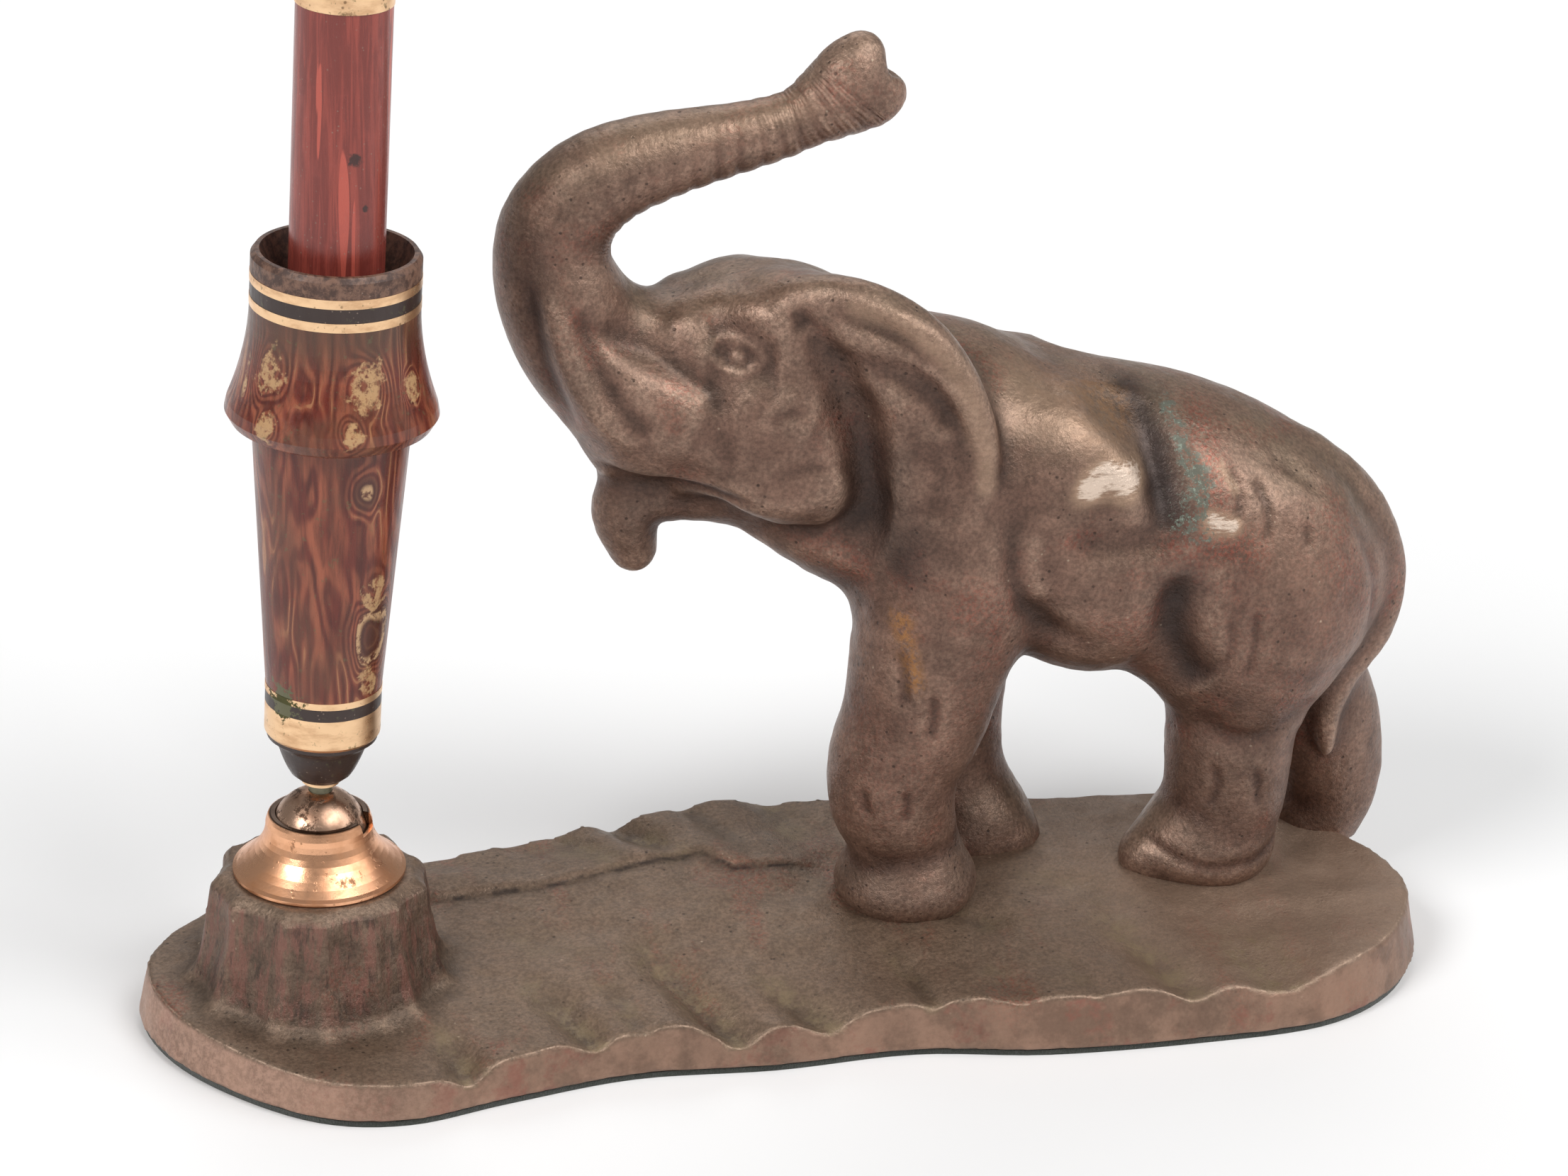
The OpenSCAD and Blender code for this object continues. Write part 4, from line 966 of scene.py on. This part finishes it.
def metal(name, bright, dull, rough, spots, stretch=(1, 1, 1), crust=False, tarnish=(7, 0.6),
          painted_shade_inside=False):
    """Plated metal that has gone dull in patches, with green crust beside the rubber and painted shade
    inside the ball's seat, each if asked for.
    """
    paint = Paint(name, metallic=1.0)
    haze = paint.noise(5, 5, 0.65, stretch)
    colour = paint.mix(paint.span(haze, 0.42, 0.72), bright, dull)
    dotted = paint.span(paint.noise(4, 3, shift=0.6), 0.5, 0.6)
    dots = paint.times(paint.span(paint.cells(1.3), 0.2, 0.1), dotted)
    size, start = tarnish
    stain = paint.larger(dots, paint.span(paint.noise(size, 6, 0.75, shift=0.8), start, start + 0.08))
    colour = paint.mix(paint.times(stain, spots), colour, tuple(0.16 * c for c in dull))
    if crust:
        green = crust_cover(paint)
        colour = paint.mix(green, colour, CRUST_COLOUR)
        stain = paint.larger(stain, green)
    if painted_shade_inside:
        # Painted shade: the metal darkened within the ball's seat radius, where the inside of the cup lies
        # in shade.
        out = paint.distance(paint.spot((1, 1, 0)), spot_at((0, 0, 0))[:2] + (0,))
        shaded = paint.span(out, BALL_SEAT_R * MM, (BALL_SEAT_R + 0.12) * MM, 0.94, 0)
        colour = paint.mix(shaded, colour, (0.03, 0.02, 0.014))
    paint.set("Base Color", colour)
    fine = paint.noise(0.35, 4, 0.7, stretch)
    hazed = paint.span(haze, 0.3, 0.7, rough, rough + 0.16)
    paint.set("Roughness", paint.math("ADD", hazed, paint.times(stain, 0.25)))
    paint.bump([(fine, 0.012), (stain, 0.02)])
    return paint.material


# Green crust on the holder's lower ring: place from the swivel's ball centre, reach and colour
lower_ring_s = sum(in_mm(corner)[2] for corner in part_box("lower_ring")) / 2 - ball_centre[2]
CRUST = (-5.8, -5.4, lower_ring_s + 0.1)
CRUST_REACH = 4.2
CRUST_COLOUR = (0.105, 0.1, 0.045)
# Radius inside which the bell's metal is painted dark around the ball, as painted shade inside the bell
BALL_SEAT_R = 6.5
# Dark spots in the red rubber: place from the swivel's ball centre, radius
BURNS = [((4.4, -6.2, 95.6), 0.9), ((7.0, -3.6, 92), 0.6), ((5.6, -5.4, 89), 0.5)]


def rubber(name, dark, light, figure, share, rough=0.34, spots=(), crust=False):
    """Hard rubber with a faint figure, an oxidised skin and any dark spots; figure makes the pattern."""
    paint = Paint(name)
    colour = paint.mix(paint.times(figure(paint), share), dark, light)
    film = paint.span(paint.noise(3.5, 5, 0.7, shift=0.35), 0.5, 0.78, 0, 0.35)
    colour = paint.mix(film, colour, tuple(1.9 * c + 0.01 for c in dark))
    dusty = paint.span(paint.noise(3, 3, shift=0.25), 0.46, 0.56)
    dust = paint.times(paint.span(paint.cells(0.8), 0.17, 0.08), dusty)
    colour = paint.mix(paint.times(dust, 0.5), colour, (0.3, 0.22, 0.17))
    for offset, radius in spots:
        gap = paint.distance(paint.place, spot_at(offset))
        ragged = paint.times(gap, paint.span(paint.noise(0.8, 4, 0.7), 0.3, 0.7, 0.7, 1.4))
        burnt = paint.span(ragged, 1.2 * radius * MM, 0.7 * radius * MM, 0, 0.9)
        colour = paint.mix(burnt, colour, (0.03, 0.014, 0.012))
    if crust:
        colour = paint.mix(crust_cover(paint), colour, CRUST_COLOUR)
    paint.set("Base Color", colour)
    scratch = paint.noise(1.0, 5, 0.75, (1, 1, 0.12))
    paint.set("Roughness", paint.span(scratch, 0.3, 0.7, rough - 0.07, rough + 0.14))
    paint.bump([(scratch, 0.015), (paint.noise(0.6, 3, 0.6), 0.01)])
    return paint.material


def grain_lines(paint):
    """Long streaks along the pen, with a few broad flames."""
    thin = paint.span(paint.noise(0.9, 5, 0.7, (1, 1, 0.04), 0.8), 0.42, 0.64, 0, 0.45)
    flames = paint.span(paint.noise(2.6, 2, 0.5, (1, 1, 0.08), 0.6, shift=0.4), 0.61, 0.635)
    return paint.larger(thin, flames)


def plain_haze(paint):
    return paint.noise(4, 4, 0.6)


def worn_haze(paint):
    return paint.span(paint.noise(1.4, 5, 0.75), 0.4, 0.62)


# Bands of colour over the whole range of the mottled rubber's flow
FLOW_BANDS = 16
# Figures in the mottled rubber: place from the swivel's ball centre, reach and height
FIGURES = [((-6.7, -6.8, 67.9), 4.2, 0.28), ((5.2, -11.0, 67.4), 4.2, 0.28),
           ((-7.2, -9.0, 61.7), 2.5, 0.24), ((3.0, -13.0, 62.0), 2.5, 0.24),
           ((11.0, -8.0, 66), 2.5, 0.22), ((7.0, -6.2, 31.0), 6.4, -0.4), ((6.5, -6.9, 37.3), 3.8, 0.1),
           ((5.9, -6.0, 24.2), 3.0, 0.1), ((5.3, -9.3, 52.1), 3.6, -0.2), ((2, 12, 69), 4.2, 0.3),
           ((-8, 7, 66), 4, 0.28), ((4, 9.4, 45), 5.5, -0.3), ((-8, 5, 30), 4.6, 0.26)]


def spot_at(offset):
    """A place in metres, from its offset in millimetres from the swivel's ball centre."""
    return tuple(float(v) for v in (ball_centre + offset) * MM)


def mottled():
    """Hard rubber whose colours flow along the holder in fine lines and curl round pale figures."""
    paint = Paint("mottled_rubber")
    flow = paint.noise(9, 2.5, 0.5, (1, 1, 0.16), 0.4)
    ragged = paint.span(paint.noise(2.4, 4, 0.65, shift=0.3), 0.3, 0.7, 0.6, 1.5)
    gaps = paint.span(paint.noise(1.9, 3, 0.6, shift=0.52), 0.4, 0.5)
    tall = 0.72
    tall_place = paint.spot((1, 1, tall))
    pale = knot = 0.0
    for offset, reach, height in FIGURES:
        x, y, z = spot_at(offset)
        gap = paint.distance(tall_place, (x, y, tall * z))
        flow = paint.math("ADD", flow, paint.span(gap, 0.0, reach * MM, height, 0.0))
        if height > 0:
            patch = paint.span(paint.times(gap, ragged), 0.6 * reach * MM, 0.4 * reach * MM)
            pale = paint.larger(pale, paint.times(patch, gaps))
        else:
            knot = paint.larger(knot, paint.span(gap, 0.62 * reach * MM, 0.4 * reach * MM))
    wave = paint.math("SINE", paint.times(flow, 2 * math.pi * FLOW_BANDS))
    strong = paint.span(paint.noise(5, 3, 0.6, (1, 1, 0.4), shift=0.9), 0.35, 0.6, 0.45, 1)
    lines = paint.times(paint.span(wave, -1, 1), strong)
    streaks = paint.span(paint.noise(0.8, 4, 0.65, (1, 1, 0.07), 0.4, shift=0.1), 0.36, 0.64, 0.72, 1.25)
    colour = paint.tint(paint.mix(lines, (0.11, 0.018, 0.01), (0.26, 0.072, 0.036)), streaks)
    browned = paint.span(paint.noise(9, 4, 0.6, (1, 1, 0.5), shift=0.2), 0.45, 0.7, 0, 0.55)
    colour = paint.mix(browned, colour, (0.14, 0.06, 0.034))
    veined = paint.span(paint.noise(7, 3, 0.6, (1, 1, 0.4), shift=0.6), 0.5, 0.62, 0, 0.85)
    colour = paint.mix(paint.times(paint.span(wave, 0.72, 0.98), veined), colour, (0.37, 0.16, 0.075))
    colour = paint.mix(paint.times(knot, 0.75), colour, (0.06, 0.02, 0.013))
    height = paint.node("ShaderNodeSeparateXYZ", {"Vector": paint.place}, "Z")
    below_rings = spot_at((0, 0, 74))[2]
    # Painted darker upwards towards the rings.
    darker_upward = paint.span(height, below_rings - 7 * MM, below_rings, 0, 0.65)
    colour = paint.mix(darker_upward, colour, (0.075, 0.042, 0.024))
    heart = paint.times(pale, paint.span(paint.noise(1.1, 4, 0.75, shift=0.3), 0.36, 0.52, 0.15, 0.9))
    colour = paint.mix(heart, colour, (0.50, 0.30, 0.145))
    edge = paint.times(paint.span(flow, 0.30, 0.27), paint.span(flow, 0.18, 0.24))
    broken = paint.span(paint.noise(1.2, 4, 0.7), 0.4, 0.55)
    colour = paint.mix(paint.times(edge, broken), colour, (0.52, 0.32, 0.17))
    colour = paint.mix(crust_cover(paint), colour, CRUST_COLOUR)
    paint.set("Base Color", colour)
    scratch = paint.noise(1.0, 5, 0.75, (1, 1, 0.12))
    paint.set("Roughness", paint.span(scratch, 0.3, 0.7, 0.22, 0.4))
    paint.bump([(scratch, 0.02), (paint.noise(0.5, 3, 0.6), 0.015)])
    return paint.material


def felt():
    paint = Paint("green_felt", roughness=0.95, sheen_weight=0.4)
    fibres = paint.noise(0.35, 5, 0.8, (1, 1, 0.4), 2.0)
    paint.set("Base Color", paint.mix(fibres, (0.008, 0.012, 0.008), (0.035, 0.045, 0.03)))
    paint.bump([(fibres, 0.25)])
    return paint.material


CAST = cast_patina()
GROUND = ground_patina()
COPPER = metal("worn_copper", (0.91, 0.49, 0.285), (0.70, 0.34, 0.175), 0.24, 0.6, tarnish=(4, 0.6),
               painted_shade_inside=True)
BRONZED = metal("tarnished_copper", (0.60, 0.385, 0.27), (0.32, 0.18, 0.115), 0.22, 0.85,
                tarnish=(3.5, 0.53))
GREENED = metal("greened_steel", (0.25, 0.24, 0.17), (0.12, 0.125, 0.085), 0.42, 0.6, tarnish=(7, 0.5))
GOLD = metal("dull_gold", (0.93, 0.625, 0.37), (0.70, 0.43, 0.24), 0.27, 0.6, (1, 1, 3), crust=True)
DIM_BRASS = metal("dim_brass", (0.2, 0.13, 0.07), (0.1, 0.07, 0.04), 0.45, 0.6)
STEEL = metal("spring_steel", (0.5, 0.49, 0.46), (0.3, 0.29, 0.27), 0.3, 0.4)
BLACK = rubber("black_rubber", (0.024, 0.013, 0.011), (0.055, 0.031, 0.024), plain_haze, 0.7, crust=True)
WORN = rubber("worn_rubber", (0.06, 0.028, 0.019), (0.19, 0.10, 0.066), worn_haze, 1.0, 0.45)
MOTTLED = mottled()
RED = rubber("red_rubber", (0.185, 0.034, 0.026), (0.56, 0.11, 0.075), grain_lines, 0.75, 0.26, BURNS)
FELT = felt()

NODE_MATERIALS = {
    COPPER: ["swivel_cup"],
    DIM_BRASS: ["cup_plug", "ball_seat"],
    BRONZED: ["swivel_ball"],
    GOLD: ["lower_band", "lower_ring", "collar_ring", "rim_ring", "barrel_band", "fill_lever",
           "tip_washer", "pen_nib"],
    GREENED: ["neck_stud"],
    STEEL: ["mount_screw", "mount_washer", "seat_spring", "neck_nut", "pressure_bar", "lever_pin",
            "elephant_screws"],
    BLACK: ["socket_tip", "lower_spacer", "collar_spacer", "band_plug", "tail_cap", "pen_section",
            "pen_feed", "ink_sac"],
    WORN: ["mouth_rim", "socket_liner"],
    MOTTLED: ["socket_taper", "socket_collar"],
    RED: ["pen_barrel", "pen_tail"],
    FELT: ["felt_pad"],
}
for material, names in NODE_MATERIALS.items():
    for name in names:
        part = frame["nodes"][name]
        part.data.materials.clear()
        part.data.materials.append(material)

elephant = build_elephant()
elephant.data.materials.append(CAST)
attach(elephant, "stand")
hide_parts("elephant")

ground = build_ground()
ground.data.materials.append(GROUND)
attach(ground, "stand")
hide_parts("base_casting")


# ---- Floor, light and camera ----
# The camera's turn about the upright, its rise and its roll in degrees, its place in metres, and its
# lens in millimetres
CAMERA_TURN = -13
CAMERA_RISE = 24.3236
CAMERA_ROLL = 2
CAMERA_PLACE = (-0.13565, -0.57617, 0.32624)
LENS = 112.3
# Lights: name, the place each shines from, strength, and spread in degrees
LIGHTS = [
    ("key_left", (-1.05, -0.62, 1.0), 1.5, 24),
    ("key_right", (0.5, -0.6, 1.0), 1.3, 30),
    ("side", (0.95, -0.3, 0.7), 0.7, 40),
    ("back", (0.1, 0.9, 0.8), 0.5, 40),
]


def floor():
    mesh = bpy.data.meshes.new("floor")
    side = 6.0
    corners = [(-side, -side, 0), (side, -side, 0), (side, side, 0), (-side, side, 0)]
    mesh.from_pydata(corners, [], [(0, 1, 2, 3)])
    plane = bpy.data.objects.new("floor", mesh)
    bpy.context.scene.collection.objects.link(plane)
    paint = Paint("white_paper", base_color=(0.93, 0.93, 0.93), roughness=0.7)
    plane.data.materials.append(paint.material)


def camera():
    """A long lens from the front left, a little above, with a slight roll."""
    turn, rise, roll = (math.radians(angle) for angle in (CAMERA_TURN, CAMERA_RISE, CAMERA_ROLL))
    level = np.array([math.cos(turn), math.sin(turn), 0])
    back = np.array([math.sin(turn) * math.cos(rise), -math.cos(turn) * math.cos(rise), math.sin(rise)])
    upright = np.cross(back, level)
    right = math.cos(roll) * level + math.sin(roll) * upright
    up = -math.sin(roll) * level + math.cos(roll) * upright
    data = bpy.data.cameras.new("camera")
    data.lens = LENS
    data.sensor_width = 36
    eye = bpy.data.objects.new("camera", data)
    bpy.context.scene.collection.objects.link(eye)
    rows = [[right[i], up[i], back[i], CAMERA_PLACE[i]] for i in range(3)]
    eye.matrix_world = Matrix(rows + [[0, 0, 0, 1]])
    bpy.context.scene.camera = eye


def sun(name, place, strength, spread):
    """A far, wide light shining from a place towards the origin."""
    data = bpy.data.lights.new(name, "SUN")
    data.energy = strength
    data.angle = math.radians(spread)
    lamp = bpy.data.objects.new(name, data)
    bpy.context.scene.collection.objects.link(lamp)
    lamp.rotation_mode = "QUATERNION"
    lamp.rotation_quaternion = Vector(place).to_track_quat("Z", "Y")


def studio():
    world = bpy.data.worlds.new("white_room")
    world.use_nodes = True
    world.node_tree.nodes["Background"].inputs["Color"].default_value = (1, 1, 1, 1)
    world.node_tree.nodes["Background"].inputs["Strength"].default_value = 0.27
    bpy.context.scene.world = world
    bpy.context.scene.view_settings.view_transform = "Standard"
    for light in LIGHTS:
        sun(*light)


floor()
studio()
camera()
